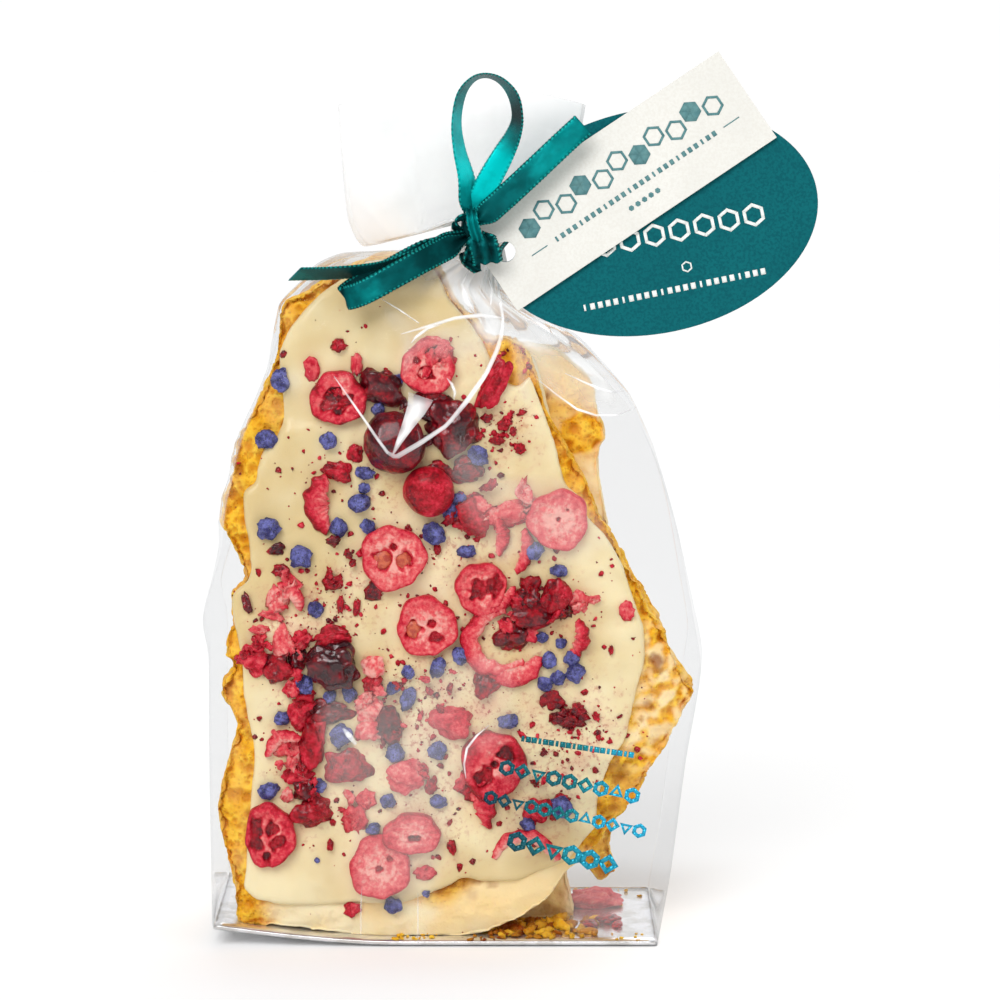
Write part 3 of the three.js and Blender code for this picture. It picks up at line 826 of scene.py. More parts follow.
def cranberry(wide, high, thick, dark, seed, chambers):
    """A cross-cut cranberry: crinkled skin round pale flesh, with torn hollows (x, y, size) in it."""
    def reach(v):
        """Radius share and height share along the section, from the top's middle to the underside's."""
        if v < 0.66:
            return v / 0.66 * 0.92, 1.0
        if v < 0.8:
            bend = (v - 0.66) / 0.14 * math.pi
            return 0.92 + 0.08 * math.sin(bend), math.cos(bend)
        return (1 - (v - 0.8) / 0.2) * 0.92, -1.0

    def hollow(x, y):
        deepest = 0.0
        for cx, cy, size in chambers:
            ragged = 1.3 * size * (1 + 0.6 * noise_at((x * 5, y * 5, seed), 1.2))
            deepest = max(deepest, smooth(ragged, ragged * 0.7, math.hypot(x - cx, y - cy)))
        return deepest

    def place(u, v):
        share, side = reach(v)
        angle = u * 2 * math.pi
        wobble = 1 + 0.05 * math.sin(3 * angle + seed) + 0.03 * math.sin(7 * angle + 2 * seed)
        wobble += 0.03 * noise_at((math.cos(angle) * 3, math.sin(angle) * 3, seed), 0.7)
        x, y = rim_point(u, share)
        lift = side * thick / 2
        if side > 0.5:
            spokes = math.sin(13 * angle + seed + 2 * noise_at((x * 3, y * 3, seed), 1))
            grain = 0.5 * noise_at((x * 6, y * 6, seed), 1) + 0.22 * noise_at((x * 15, y * 15, seed), 1)
            lift += 0.16 * spokes * smooth(0.3, 0.7, share) + grain
            lift += 0.35 * smooth(0.66, 0.9, share) - 0.42 * thick * hollow(x, y)
        cup = 0.6 * math.sin(angle + seed) * share * share
        return Vector((x * wide * wobble, y * high * wobble, lift + cup))

    def tone(u, v):
        share, side = reach(v)
        x, y = rim_point(u, share)
        flesh = mix(0.02, 0.24, smooth(0.3, 0.85, share)) + 0.16 * noise_at((x * 5, y * 5, seed), 1)
        flesh = mix(flesh, 0.42, smooth(0.86, 0.98, share))
        if side > 0.5:
            flesh = mix(flesh, 0.58, hollow(x, y))
        if v > 0.66:
            flesh = 0.4
        return clamp(flesh + dark * (1 + 1.5 * noise_at((x * 2, y * 2, seed + 4), 1)))

    return sheet(64, 34, place, {"tone": tone})


def arc(radius, sweep, width, thick, dark, seed):
    """A curved strip broken from a cranberry: dark skin outside, pale flesh inside."""
    def place(u, v):
        angle = (u - 0.5) * sweep
        around = v * 2 * math.pi
        taper = max(0.05, math.sin(math.pi * u)) ** 0.3
        wobble = 1 + 0.12 * noise_at((u * 9, seed, 0), 1)
        inward = 0.5 * width * (1 - math.cos(around)) * taper
        lift = 0.5 * thick * math.sin(around) * taper
        if u in (0.0, 1.0):
            inward, lift = width * 0.5, 0
        r = radius * wobble - inward
        crumple = 0.45 * noise_at((u * 16, v * 5, seed), 1) + 0.2 * noise_at((u * 40, v * 12, seed), 1)
        lift += crumple * taper + 0.8 * math.sin(u * 5 + seed)
        return Vector((r * math.cos(angle), r * math.sin(angle), lift))

    def tone(u, v):
        skin = 0.5 + 0.5 * math.cos(v * 2 * math.pi)
        return clamp(mix(0.06, 0.52, skin ** 1.5) + dark + 0.12 * noise_at((u * 20, v * 6, seed), 1))

    return sheet(48, 18, place, {"tone": tone})


def lump(wide, high, deep, rough, tone, seed, detail=3):
    """A rough rounded lump, such as a dried berry, a chunk or a crumb."""
    bm = ball(detail)
    layer = bm.verts.layers.float.new("tone")
    for vert in bm.verts:
        at = vert.co.copy()
        folds = wrinkle(at, 0.8, seed + 2) if detail > 2 else 0
        swell = 1 + rough * (noise_at(at, 0.9, seed) + 0.5 * noise_at(at, 0.4, seed + 3) + 0.3 * folds)
        vert[layer] = clamp(tone + 0.2 * noise_at(at, 0.5, seed + 6) - 0.1 * folds)
        vert.co = Vector((at.x * wide, at.y * high, at.z * deep)) * swell
    return bm


def violet(wide, high, deep, seed):
    """A sugared violet: two or three grown-together lumps, set all over with sugar grains."""
    bm = ball(3)
    for vert in bm.verts:
        at = vert.co.copy()
        lobes = 0.3 * noise_at(at, 0.85, seed) + 0.14 * noise_at(at, 0.4, seed + 3)
        grains = 0.16 * pits_at(at, 0.42, seed)
        vert.co = Vector((at.x * wide, at.y * high, at.z * deep)) * (0.92 + lobes + grains)
    return bm


def flake(wide, high, thick, tone, seed, curved=1.0):
    """A thin torn piece, bent and ragged at its edge."""
    def place(u, v):
        share, side = (2 * v, 1) if v < 0.5 else (2 * (1 - v), -1)
        around = (*rim_point(u, 1.4), seed)
        ragged = 1 + 0.4 * noise_at(around, 0.6) + 0.1 * noise_at(around, 0.22)
        x, y = rim_point(u, share * ragged)
        bend = curved * wide * (0.4 * (x * x - 0.4) * math.sin(seed) + 0.3 * noise_at((x, y, seed), 0.5))
        bend += 0.25 * noise_at((x * 3, y * 3, seed), 0.5)
        edge = math.sqrt(max(0.0, 1 - share ** 6))
        return Vector((x * wide, y * high, bend + side * thick * 0.5 * edge))

    def shade(u, v):
        return clamp(tone + 0.2 * noise_at((*rim_point(u, 2), v * 6), 1, seed))

    return sheet(20, 8, place, {"tone": shade})


# Slices: pixel, half width and height, how dark, and their hollows in shares of the radius.
SLICES = [
    (393, 557, 33, 33, 0.0, [(-0.3, -0.06, 0.27), (0.3, -0.08, 0.25), (0.02, 0.36, 0.1)]),
    (427, 625, 31, 31, 0.02, [(-0.42, -0.1, 0.26), (0.12, 0.12, 0.14), (0.3, -0.36, 0.2)]),
    (338, 397, 29, 27, 0.16, [(-0.1, 0.12, 0.3), (0.28, -0.08, 0.2), (0.05, -0.45, 0.2),
                              (-0.42, -0.25, 0.16)]),
    (428, 366, 27, 28, 0.06, [(0.2, 0.35, 0.3), (-0.1, -0.25, 0.26), (-0.45, 0.2, 0.16)]),
    (558, 519, 31, 31, 0.0, [(0, 0, 0.07), (0.3, 0.3, 0.05)]),
    (481, 588, 26, 28, 0.06, [(-0.12, -0.02, 0.32), (0.5, 0.1, 0.34)]),
    (493, 764, 33, 36, 0.2, [(-0.3, -0.32, 0.26), (0.34, 0.3, 0.2), (0.05, 0.05, 0.12)]),
    (270, 834, 26, 34, 0.12, [(0.08, 0.2, 0.24), (0.3, -0.2, 0.24), (-0.12, -0.62, 0.13), (-0.56, 0.2, 0.3),
                              (-0.5, -0.25, 0.24)]),
    (380, 866, 31, 33, 0.06, [(0, -0.05, 0.12), (0.34, 0.3, 0.1)]),
    (412, 832, 30, 21, 0.1, [(0.1, -0.2, 0.16)]),
]
# Curved strips: pixel of their centre, radius, turn, sweep, width and how dark.
ARCS = [
    (499, 641, 38, 200, 250, 19, 0.06), (512, 655, 32, 285, 150, 20, 0.02),
    (525, 862, 36, 90, 170, 14, -0.04), (337, 503, 34, 180, 150, 26, 0.14),
    (508, 548, 27, 350, 130, 14, 0.12), (486, 536, 24, 0, 120, 14, 0.12),
    (564, 636, 26, 350, 130, 15, 0.16), (462, 808, 34, 20, 120, 22, 0.16),
    (285, 600, 20, 40, 150, 14, -0.06), (503, 498, 30, 250, 160, 20, 0.04),
    (287, 750, 22, 120, 160, 14, -0.02), (492, 590, 24, 320, 110, 12, 0.1),
]
ROUND_FRUIT = [
    (429, 490, 25, 26, 0.6, 0.04), (334, 663, 21, 23, 0.97, 0.42), (395, 442, 31, 30, 0.84, 0.12),
    (373, 666, 11, 11, 0.16, 0.3),
]
CHUNKS = [
    (380, 388, 20, 17, 0.86), (452, 425, 22, 26, 0.88), (467, 470, 16, 12, 0.8), (470, 515, 18, 18, 0.62),
    (277, 668, 14, 13, 0.72), (255, 661, 13, 12, 0.5), (298, 659, 9, 12, 0.88), (374, 684, 10, 9, 0.6),
    (389, 725, 13, 17, 0.84), (330, 712, 20, 12, 0.82), (347, 765, 21, 18, 0.66), (313, 740, 12, 24, 0.62),
    (299, 714, 10, 15, 0.5), (305, 786, 11, 13, 0.86), (314, 811, 19, 15, 0.66), (298, 774, 14, 8, 0.5),
    (540, 612, 25, 13, 0.76), (514, 636, 18, 13, 0.8), (371, 710, 13, 11, 0.2), (371, 728, 12, 11, 0.24),
    (486, 682, 11, 13, 0.74), (536, 810, 12, 12, 0.56), (282, 643, 9, 17, 0.24), (450, 722, 20, 14, 0.46),
    (407, 776, 17, 14, 0.36), (432, 785, 6, 8, 0.66), (495, 384, 10, 24, 0.58), (338, 471, 14, 9, 0.64),
    (356, 453, 7, 9, 0.64), (440, 470, 12, 8, 0.72), (300, 640, 8, 10, 0.5), (333, 640, 18, 9, 0.6),
    (555, 598, 14, 16, 0.7), (527, 600, 13, 12, 0.72), (430, 402, 15, 12, 0.78), (510, 514, 20, 12, 0.3),
]
# Heaps of small torn pieces: pixel, spread, how many, tones from and to, sizes in pixels from and to.
HEAPS = [
    (282, 600, 13, 20, 6, 0.05, 0.35, 5, 11), (270, 650, 20, 13, 6, 0.3, 0.7, 5, 9),
    (300, 655, 8, 20, 4, 0.1, 0.5, 5, 9), (300, 700, 12, 14, 5, 0.3, 0.7, 5, 11),
    (292, 750, 16, 16, 6, 0.1, 0.6, 5, 11), (306, 780, 10, 14, 6, 0.4, 0.85, 5, 10),
    (372, 700, 12, 20, 6, 0.05, 0.4, 5, 9), (390, 735, 12, 12, 4, 0.6, 0.85, 4, 9),
    (540, 600, 26, 16, 8, 0.4, 0.85, 5, 12), (515, 622, 22, 16, 6, 0.3, 0.75, 4, 10),
    (425, 420, 26, 26, 6, 0.7, 0.95, 5, 12), (470, 500, 20, 24, 6, 0.4, 0.8, 5, 11),
    (505, 505, 26, 14, 5, 0.1, 0.35, 6, 13), (565, 715, 16, 9, 4, 0.55, 0.8, 5, 11),
    (355, 808, 16, 14, 5, 0.15, 0.4, 5, 10), (480, 790, 18, 18, 5, 0.3, 0.65, 5, 12),
    (345, 560, 20, 26, 6, 0.55, 0.8, 3, 7), (420, 700, 34, 30, 7, 0.3, 0.7, 3, 7),
    (585, 608, 10, 12, 2, 0.05, 0.3, 5, 9), (428, 360, 16, 16, 4, 0.1, 0.6, 5, 11),
    (338, 395, 16, 14, 4, 0.35, 0.6, 4, 9), (560, 800, 26, 20, 5, 0.35, 0.75, 3, 6),
    (412, 775, 16, 12, 4, 0.2, 0.5, 4, 9), (247, 655, 6, 8, 3, 0.4, 0.7, 4, 7),
]
FLAKES = [
    (312, 369, 8, 14, 0.36), (356, 364, 7, 12, 0.3), (339, 345, 9, 7, 0.6), (445, 362, 12, 14, 0.52),
    (278, 549, 8, 7, 0.84), (247, 603, 5, 11, 0.84), (282, 571, 9, 7, 0.66), (334, 582, 12, 9, 0.62),
    (341, 604, 4, 10, 0.6), (357, 607, 4, 10, 0.6), (373, 591, 10, 10, 0.78), (303, 636, 8, 4, 0.76),
    (332, 634, 16, 10, 0.6), (259, 629, 10, 6, 0.22), (276, 598, 12, 15, 0.16), (529, 584, 12, 10, 0.68),
    (579, 602, 11, 14, 0.22), (627, 611, 8, 11, 0.3), (551, 700, 13, 11, 0.7), (569, 718, 20, 11, 0.72),
    (596, 716, 4, 6, 0.56), (611, 650, 3, 5, 0.6), (289, 746, 18, 13, 0.28), (287, 795, 6, 9, 0.14),
    (366, 799, 10, 11, 0.3), (355, 819, 14, 17, 0.34), (352, 908, 10, 8, 0.44), (330, 845, 4, 6, 0.6),
    (452, 847, 5, 8, 0.6), (520, 448, 6, 6, 0.58), (508, 518, 24, 14, 0.3), (436, 344, 18, 8, 0.2),
    (420, 380, 14, 12, 0.16), (504, 425, 8, 6, 0.64), (487, 418, 6, 5, 0.7), (497, 440, 8, 5, 0.66),
    (478, 436, 6, 5, 0.7), (513, 432, 4, 5, 0.66), (408, 530, 4, 6, 0.66), (437, 549, 4, 6, 0.62),
    (560, 800, 8, 8, 0.5), (425, 872, 12, 8, 0.4),
]
VIOLETS = [
    (281, 380, 9, 14), (267, 439, 11, 11), (329, 440, 9, 9), (378, 409, 7, 7), (397, 380, 7, 6),
    (478, 455, 11, 11), (365, 473, 10, 7), (364, 488, 6, 6), (359, 503, 11, 11), (459, 499, 8, 8),
    (451, 512, 10, 10), (268, 528, 12, 11), (301, 556, 12, 12), (316, 609, 8, 9), (339, 527, 9, 11),
    (368, 526, 8, 8), (434, 532, 12, 12), (466, 551, 10, 7), (304, 684, 10, 10), (330, 696, 7, 7),
    (350, 693, 8, 8), (282, 717, 8, 8), (408, 672, 7, 7), (393, 688, 7, 7), (408, 698, 8, 13),
    (438, 667, 8, 12), (460, 655, 8, 10), (341, 734, 12, 11), (395, 752, 10, 10), (437, 750, 10, 10),
    (535, 550, 10, 10), (559, 570, 9, 7), (542, 637, 7, 6), (561, 643, 6, 6), (549, 660, 8, 9),
    (571, 658, 8, 8), (575, 672, 10, 10), (558, 677, 8, 8), (545, 684, 8, 8), (508, 721, 11, 8),
    (269, 790, 12, 8), (320, 785, 7, 8), (388, 800, 8, 8), (439, 801, 9, 7), (373, 828, 8, 6),
    (393, 903, 10, 9), (426, 893, 4, 4), (561, 806, 12, 12), (528, 824, 8, 8), (317, 860, 3, 3),
]
CRUMB_DRIFTS = [
    (505, 425, 28, 26, 70), (340, 595, 30, 34, 60), (400, 640, 120, 120, 130), (560, 740, 80, 30, 110),
    (600, 690, 60, 90, 36), (430, 700, 70, 60, 130), (330, 480, 60, 50, 40), (500, 350, 40, 40, 40),
    (300, 640, 50, 70, 80), (540, 790, 70, 50, 70), (420, 800, 140, 80, 100), (400, 520, 200, 180, 130),
    (560, 590, 60, 60, 44), (340, 330, 70, 50, 14), (300, 740, 40, 60, 70), (500, 620, 50, 40, 60),
    (450, 560, 60, 50, 50),
]


def lay(pile, made, u, w, turn, tilt, lift, chance):
    """Lays a made topping where a pixel shows it and adds it to its pile."""
    spot = seat(u, w, lift)
    if spot is None:
        made.free()
        return None
    place = lying(*spot, turn, tilt, chance)
    absorb(pile, made, place)
    return place


def make_toppings():
    """All fruit, seeds, violets and crumbs on the front shard."""
    chance = random.Random(7)
    fruit, torn, seeds, violets, crumbs = (pile_of("tone") for _ in range(5))
    for number, (u, w, wide, high, dark, hollows) in enumerate(SLICES):
        thick = chance.uniform(2.4, 3.0)
        made = cranberry(wide * PIXEL, high * PIXEL, thick, dark, number + 1, hollows)
        place = lay(fruit, made, u, w, 0, 0.1, thick * 0.5, chance)
        for cx, cy, size in hollows[:max(0, 2 - number)]:
            reach = size * wide * PIXEL
            kernel = lump(reach * 1.05, reach * 1.1, 0.7, 0.2, 0, number + cx, 3)
            spot = Matrix.Translation((cx * wide * PIXEL, cy * high * PIXEL, 0.05 * thick))
            absorb(seeds, kernel, place @ spot)
    for number, (u, w, radius, turn, sweep, width, dark) in enumerate(ARCS):
        made = arc(radius * PIXEL, math.radians(sweep), width * PIXEL, 3.0, dark, number + 11)
        lay(fruit, made, u, w, turn, 0.14, 1.3, chance)
    for number, (u, w, wide, high, tone, rough) in enumerate(ROUND_FRUIT):
        small = min(wide, high) * PIXEL
        made = lump(wide * PIXEL, high * PIXEL, small * 0.72, rough, tone, number + 31, 5)
        lay(fruit, made, u, w, chance.uniform(0, 360), 0.1, small * 0.42, chance)
    for number, (u, w, wide, high, tone) in enumerate(CHUNKS):
        deep = min(wide, high) * PIXEL * 0.6
        made = lump(wide * PIXEL, high * PIXEL, deep, 0.55, tone, number + 51, 4)
        turn = -28 if (wide, high) == (10, 24) else chance.uniform(-12, 12)
        lay(torn, made, u, w, turn, 0.2, deep * 0.3, chance)
    for number, (u, w, wide, high, tone) in enumerate(FLAKES):
        made = flake(wide * PIXEL, high * PIXEL, 0.7, tone, number + 91)
        lay(torn, made, u, w, chance.uniform(-15, 15), 0.3, 0.7, chance)
    for u, w, spread_u, spread_w, count, tone_from, tone_to, small, large in HEAPS:
        for _ in range(count):
            size = chance.uniform(small, large) * 1.2 * PIXEL
            made = flake(size, size * chance.uniform(0.45, 0.9), 0.8, chance.uniform(tone_from, tone_to),
                         chance.uniform(0, 90), 1.5)
            spot = (u + chance.uniform(-1, 1) * spread_u, w + chance.uniform(-1, 1) * spread_w)
            lay(torn, made, *spot, chance.uniform(0, 360), 0.9, chance.uniform(0.6, 2.2), chance)
    for number, (u, w, wide, high) in enumerate(VIOLETS):
        deep = min(wide, high) * PIXEL * 0.8
        made = violet(wide * PIXEL, high * PIXEL, deep, number + 131)
        lay(violets, made, u, w, chance.uniform(-25, 25), 0.3, deep * 0.55, chance)
    for u, w, wide, high, count in CRUMB_DRIFTS:
        for _ in range(count):
            size = 0.16 + 0.75 * chance.random() ** 3.2
            made = lump(size, size * chance.uniform(0.5, 1.5), size * 0.6, 0.7,
                        chance.uniform(0.42, 0.78), chance.uniform(0, 90), 1)
            spot = (u + chance.gauss(0, 0.5) * wide, w + chance.gauss(0, 0.5) * high)
            lay(crumbs, made, *spot, chance.uniform(0, 360), 0.4, size * 0.2, chance)
    return fruit, torn, seeds, violets, crumbs


fruit, torn, seeds, violets, crumbs = make_toppings()
contents_tree = tree_of(
    front_toffee, front_coating, fruit, torn, violets, second_toffee, second_coating,
    third_toffee, third_coating)


# The film, ring by ring, with the CAD bag's own sections: left end's x and z, right end's x and z,
# front and back depth, roundness, gusset tuck and pleats.
NECK_X = 10
NECK_Z = 172
FILM_RINGS = [
    (-55, 0.2, 55, 0.2, -25, 25, 0.05, 0, 0),
    (-55.4, 3, 55.6, 3, -25.4, 25.4, 0.06, 0, 0),
    (-55.6, 24, 58.5, 20, -26.5, 26, 0.07, 0, 0),
    (-55.8, 50, 62, 47, -27, 27, 0.08, 0, 0),
    (-55.8, 72, 65.6, 69, -27, 27, 0.09, 0, 0),
    (-57.3, 82, 63.5, 84, -26.5, 26, 0.1, 2, 0),
    (-53, 98, 60.4, 102, -25.5, 24, 0.12, 5, 0),
    (-50.8, 113, 56.5, 118, -24.5, 22, 0.16, 8, 0.02),
    (-46.4, 130, 51, 131, -23, 19, 0.22, 9, 0.05),
    (-42.2, 143, 44, 139.5, -21, 16, 0.3, 7, 0.12),
    (-37, 156, 37, 146.5, -18.5, 12.5, 0.42, 4, 0.25),
    (-27, 164, 27, 151.6, -14.2, 9.5, 0.66, 1, 0.5),
    (-16.5, 167.4, 19, 157.3, -10.5, 7, 0.85, 0, 0.8),
    (3.4, 168.4, 16.6, 167.9, -4.6, 4.6, 1, 0, 1),
    (3.9, 172, 16.1, 171.5, -4.2, 4.2, 1, 0, 1),
    (3.4, 175.4, 16.6, 174.9, -4.6, 4.6, 1, 0, 1),
    (-8, 170.8, 19.5, 178, 0.5, 3.9, 0.7, 0, 0.7),
    (-17.6, 168.8, 25, 182, 0.6, 3.8, 0.35, 0, 0.5),
    (-21.2, 175.5, 29, 187, 0.8, 3.6, 0.2, 0, 0.3),
    (-22.6, 190, 35, 195.5, 0.8, 3.6, 0.1, 0, 0.12),
    (-23.4, 203, 36.5, 203, 0.8, 3.6, 0.1, 0, 0.05),
]
HEADER_FROM = 16
NECK_FROM = HEADER_FROM - 3
TOP_CROWN = 4.5


def ring_value(column, t):
    """A section's value at ring number t, smoothly blended as in the CAD."""
    last = len(FILM_RINGS) - 1
    number = min(int(t), last - 1)
    share = t - number
    before, start, end, after = (
        FILM_RINGS[clamp(k, 0, last)][column] for k in (number - 1, number, number + 1, number + 2))
    leave, arrive = 0.3 * (end - before), 0.3 * (after - start)
    s2, s3 = share * share, share ** 3
    return (
        (2 * s3 - 3 * s2 + 1) * start + (s3 - 2 * s2 + share) * leave
        + (3 * s2 - 2 * s3) * end + (s3 - s2) * arrive)


def square_walk(u):
    """A point on the unit square: from the middle of the left side round the front and the back."""
    shares = (0.08, 0.42, 0.16, 0.42, 0.08)
    corners = ((-1, 0), (-1, -1), (1, -1), (1, 1), (-1, 1), (-1, 0))
    for share, start, end in zip(shares, corners, corners[1:]):
        total = sum(shares)
        if u * total <= share + 1e-9:
            t = u * total / share
            return mix(start[0], end[0], t), mix(start[1], end[1], t)
        u -= share / total
    return -1.0, 0.0


def crease(x, z, creases):
    """Height of sharp ridges in the film near a point of its front; each is a line and a height."""
    rise = 0.0
    for (x0, z0), (x1, z1), height, width in creases:
        dx, dz = x1 - x0, z1 - z0
        t = clamp(((x - x0) * dx + (z - z0) * dz) / (dx * dx + dz * dz))
        gap = math.hypot(x - x0 - t * dx, z - z0 - t * dz)
        rise += height * max(0.0, 1 - gap / width) ** 1.5 * math.sin(math.pi * mix(0.12, 0.88, t))
    return rise


def crease_lines():
    """Ridges fanning from the neck over the shoulders, and a few straight ones lower down."""
    chance = random.Random(5)
    lines = []
    for number in range(22):
        angle = math.radians(mix(200, 340, number / 21) + chance.uniform(-4, 4))
        start = chance.uniform(6, 20)
        reach = start + chance.uniform(22, 60)
        lines.append((
            (NECK_X + start * math.cos(angle), NECK_Z + start * math.sin(angle)),
            (NECK_X + reach * math.cos(angle), NECK_Z + reach * math.sin(angle)),
            chance.uniform(0.5, 1.5), chance.uniform(2.5, 6)))
    for _ in range(14):
        x, z = chance.uniform(-48, 55), chance.uniform(10, 120)
        angle = chance.uniform(0, math.pi)
        reach = chance.uniform(14, 40)
        lines.append((
            (x, z), (x + reach * math.cos(angle), z + reach * math.sin(angle)),
            chance.uniform(0.3, 0.8), chance.uniform(4, 10)))
    return lines


CREASES = crease_lines()
# Painted reflections on the film's front: pixels of their corners and how strong.
PAINTED_REFLECTIONS = [
    ([(323, 700), (362, 694), (398, 688), (440, 668), (500, 652), (520, 690), (505, 738), (470, 757),
      (462, 800), (442, 850), (430, 900), (352, 905), (352, 800), (323, 790)], 0.24),
    ([(452, 440), (480, 455), (505, 478), (560, 480), (600, 520), (614, 548), (565, 562), (520, 552),
      (500, 560), (470, 520), (452, 470)], 0.24),
    ([(382, 299), (419, 323), (402, 338), (389, 325)], 0.2),
    ([(402, 336), (470, 322), (500, 320), (496, 352), (452, 356), (416, 350), (402, 380)], 0.28),
    ([(440, 262), (470, 262), (490, 273), (508, 308), (548, 321), (597, 354), (612, 384), (588, 374),
      (560, 358), (530, 348), (505, 338), (488, 345), (470, 322), (452, 300), (444, 280)], 0.5),
    ([(520, 338), (560, 350), (600, 368), (614, 400), (590, 412), (556, 396), (530, 372)], 0.45),
    ([(597, 354), (625, 380), (640, 405), (610, 414), (600, 385)], 0.34),
    ([(512, 340), (521, 340), (530, 400), (522, 400)], 0.4),
    ([(566, 884), (634, 884), (636, 930), (572, 930)], 0.3),
    ([(290, 370), (300, 380), (304, 392), (290, 386)], 0.3),
]


def inside(x, z, corners):
    """Whether a point lies inside an outline."""
    found = False
    for (x0, z0), (x1, z1) in zip(corners, corners[1:] + corners[:1]):
        if (z0 > z) != (z1 > z) and x < (x1 - x0) * (z - z0) / (z1 - z0) + x0:
            found = not found
    return found


def film_depth(z):
    """About where the film's front is at a height, for placing what lies on it."""
    t = 0.0
    while t < NECK_FROM - 1 and mix(ring_value(1, t), ring_value(3, t), 0.5) < z:
        t += 0.1
    return ring_value(4, t)


PAINTED_REFLECTION_SHAPES = [(in_photo(corners, film_depth), strength) for corners, strength in PAINTED_REFLECTIONS]


def film_rest(u, t):
    """A point of the film before the contents push it: share u round the bag, ring number t."""
    square_x, square_y = square_walk(u)
    left_x, left_z, right_x, right_z, front, back, roundness, tuck, pleat = (
        ring_value(column, t) for column in range(9))
    length = math.hypot(square_x, square_y)
    angle = 2 * math.pi * u
    gather = math.sin(17 * angle + 1.5 * math.sin(3 * angle)) + 0.6 * math.sin(31 * angle + 2)
    header = smooth(HEADER_FROM - 1, HEADER_FROM + 1, t)
    ripple = 1 + mix(0.055, 0.02, header) * pleat * gather
    unit_x = mix(square_x, square_x / length, roundness) * ripple
    unit_y = mix(square_y, square_y / length, roundness) * ripple
    share = (unit_x + 1) / 2
    side = 1 if square_y > 0 else -1
    z = mix(left_z, right_z, share)
    x = mix(left_x, right_x, share)
    if abs(square_x) > 0.98:
        x -= 0.4 * tuck * (1 - abs(square_y)) * (1 if square_x > 0 else -1)
    y = (front + back) / 2 + unit_y * (back - front) / 2
    if t < NECK_FROM:
        face = smooth(1.0, 0.85, abs(square_x)) if abs(square_y) > 0.99 else 0.3
        upper = smooth(95, 150, z)
        facets = noise.voronoi(Vector((x, y * 0.4, z)) / mix(34, 15, upper))[0][0] - 0.45
        crumple = facets * mix(0.7, 2.4, upper) + 0.9 * (0.5 - abs(noise_at((x, y, z), 30, 4)))
        rise = face * (crumple * smooth(0, 14, z) + crease(x, z, CREASES) * smooth(4, 20, z))
        y += side * rise * (1 - 0.7 * roundness)
    else:
        wave = 1.1 * math.sin(unit_x * 5 + left_z * 0.08)
        facets = noise.voronoi(Vector((x, 0, z)) / 26)[0][0] - 0.4
        y += header * (wave + 1.2 * facets + 0.5 * noise_at((x, 0, z), 9) + side * 0.25)
    if t >= HEADER_FROM + 3:
        z += TOP_CROWN * (1 - unit_x * unit_x) * smooth(HEADER_FROM + 3, HEADER_FROM + 4, t)
    z += curl(x) * max(0.0, 1 - z / 40)
    return Vector((x, y, z))


# Rays into the contents, cast from far out on each side, tell the film where they are.
FAR_OUT = 60
FILM_GAP = 0.5
FILM_SLOPE = 0.2
SIDES = {
    "front": Vector((0, -1, 0)), "back": Vector((0, 1, 0)),
    "left": Vector((-1, 0, 0)), "right": Vector((1, 0, 0)),
}


def film_side(u):
    """Which wall of the bag a share u round it lies on."""
    square_x, square_y = square_walk(u)
    if abs(square_y) >= abs(square_x):
        return "front" if square_y < 0 else "back"
    return "left" if square_x < 0 else "right"


def needed_push(point, outward):
    """How far a film point has to move outwards to clear the contents."""
    hit = contents_tree.ray_cast(point + outward * FAR_OUT, -outward)[0]
    return max(0.0, (hit - point).dot(outward) + FILM_GAP) if hit is not None else 0.0


def taut(push, slope):
    """Spreads each push over its neighbours, as a taut film does, without lowering any."""
    wide = push
    for _ in range(30):
        lower = wide - slope
        wide = np.maximum.reduce([
            wide, np.roll(lower, 1, axis=1), np.roll(lower, -1, axis=1),
            np.vstack([lower[1:], lower[-1:]]), np.vstack([lower[:1], lower[:-1]]),
        ])
    for _ in range(6):
        around = np.roll(wide, 1, axis=1) + np.roll(wide, -1, axis=1)
        along = np.vstack([wide[1:], wide[-1:]]) + np.vstack([wide[:1], wide[:-1]])
        wide = np.maximum(push, (around + along) / 4)
    return wide


def facet_share(point, size):
    """A value from 0 to 1 that is the same all over each flat facet of the crumpled film."""
    centre = noise.voronoi(Vector(point) / size)[1][0]
    return 0.5 + 0.5 * clamp(2.2 * noise.noise(centre * 5.3), -1.0)


def painted_reflection_at(u, t, point):
    """How much painted reflection the film gets: gathered pleats, the header and flat facets that mirror the
    lights.
    """
    square_x, square_y = square_walk(u)
    facet = facet_share((point.x, point.y * 0.4, point.z * 0.8), 9)
    near_neck = smooth(10.6, 12.6, t) * smooth(16.5, 14.5, t)
    around = math.atan2(point.z - NECK_Z, point.x - NECK_X)
    streak = 0.5 + 0.9 * noise_at((around * 12, point.z * 0.03, point.y * 0.2), 1)
    # Painted streaks of reflection on the gathered pleats near the neck, and painted reflection on the
    # header's facets.
    painted_reflection = near_neck * (0.34 + 0.5 * streak * facet)
    if t > HEADER_FROM - 1:
        painted_reflection += 0.4 + 0.35 * facet_share((point.x, 0, point.z), 26) + 0.3 * noise_at(point, 12)
    if square_y < -0.99:
        for shape, strength in PAINTED_REFLECTION_SHAPES:
            painted_reflection += strength * inside(point.x, point.z, shape) * (0.45 + 0.35 * facet + 0.5 * streak)
    return clamp(painted_reflection)


FILM_AROUND = 300
FILM_ALONG = 236


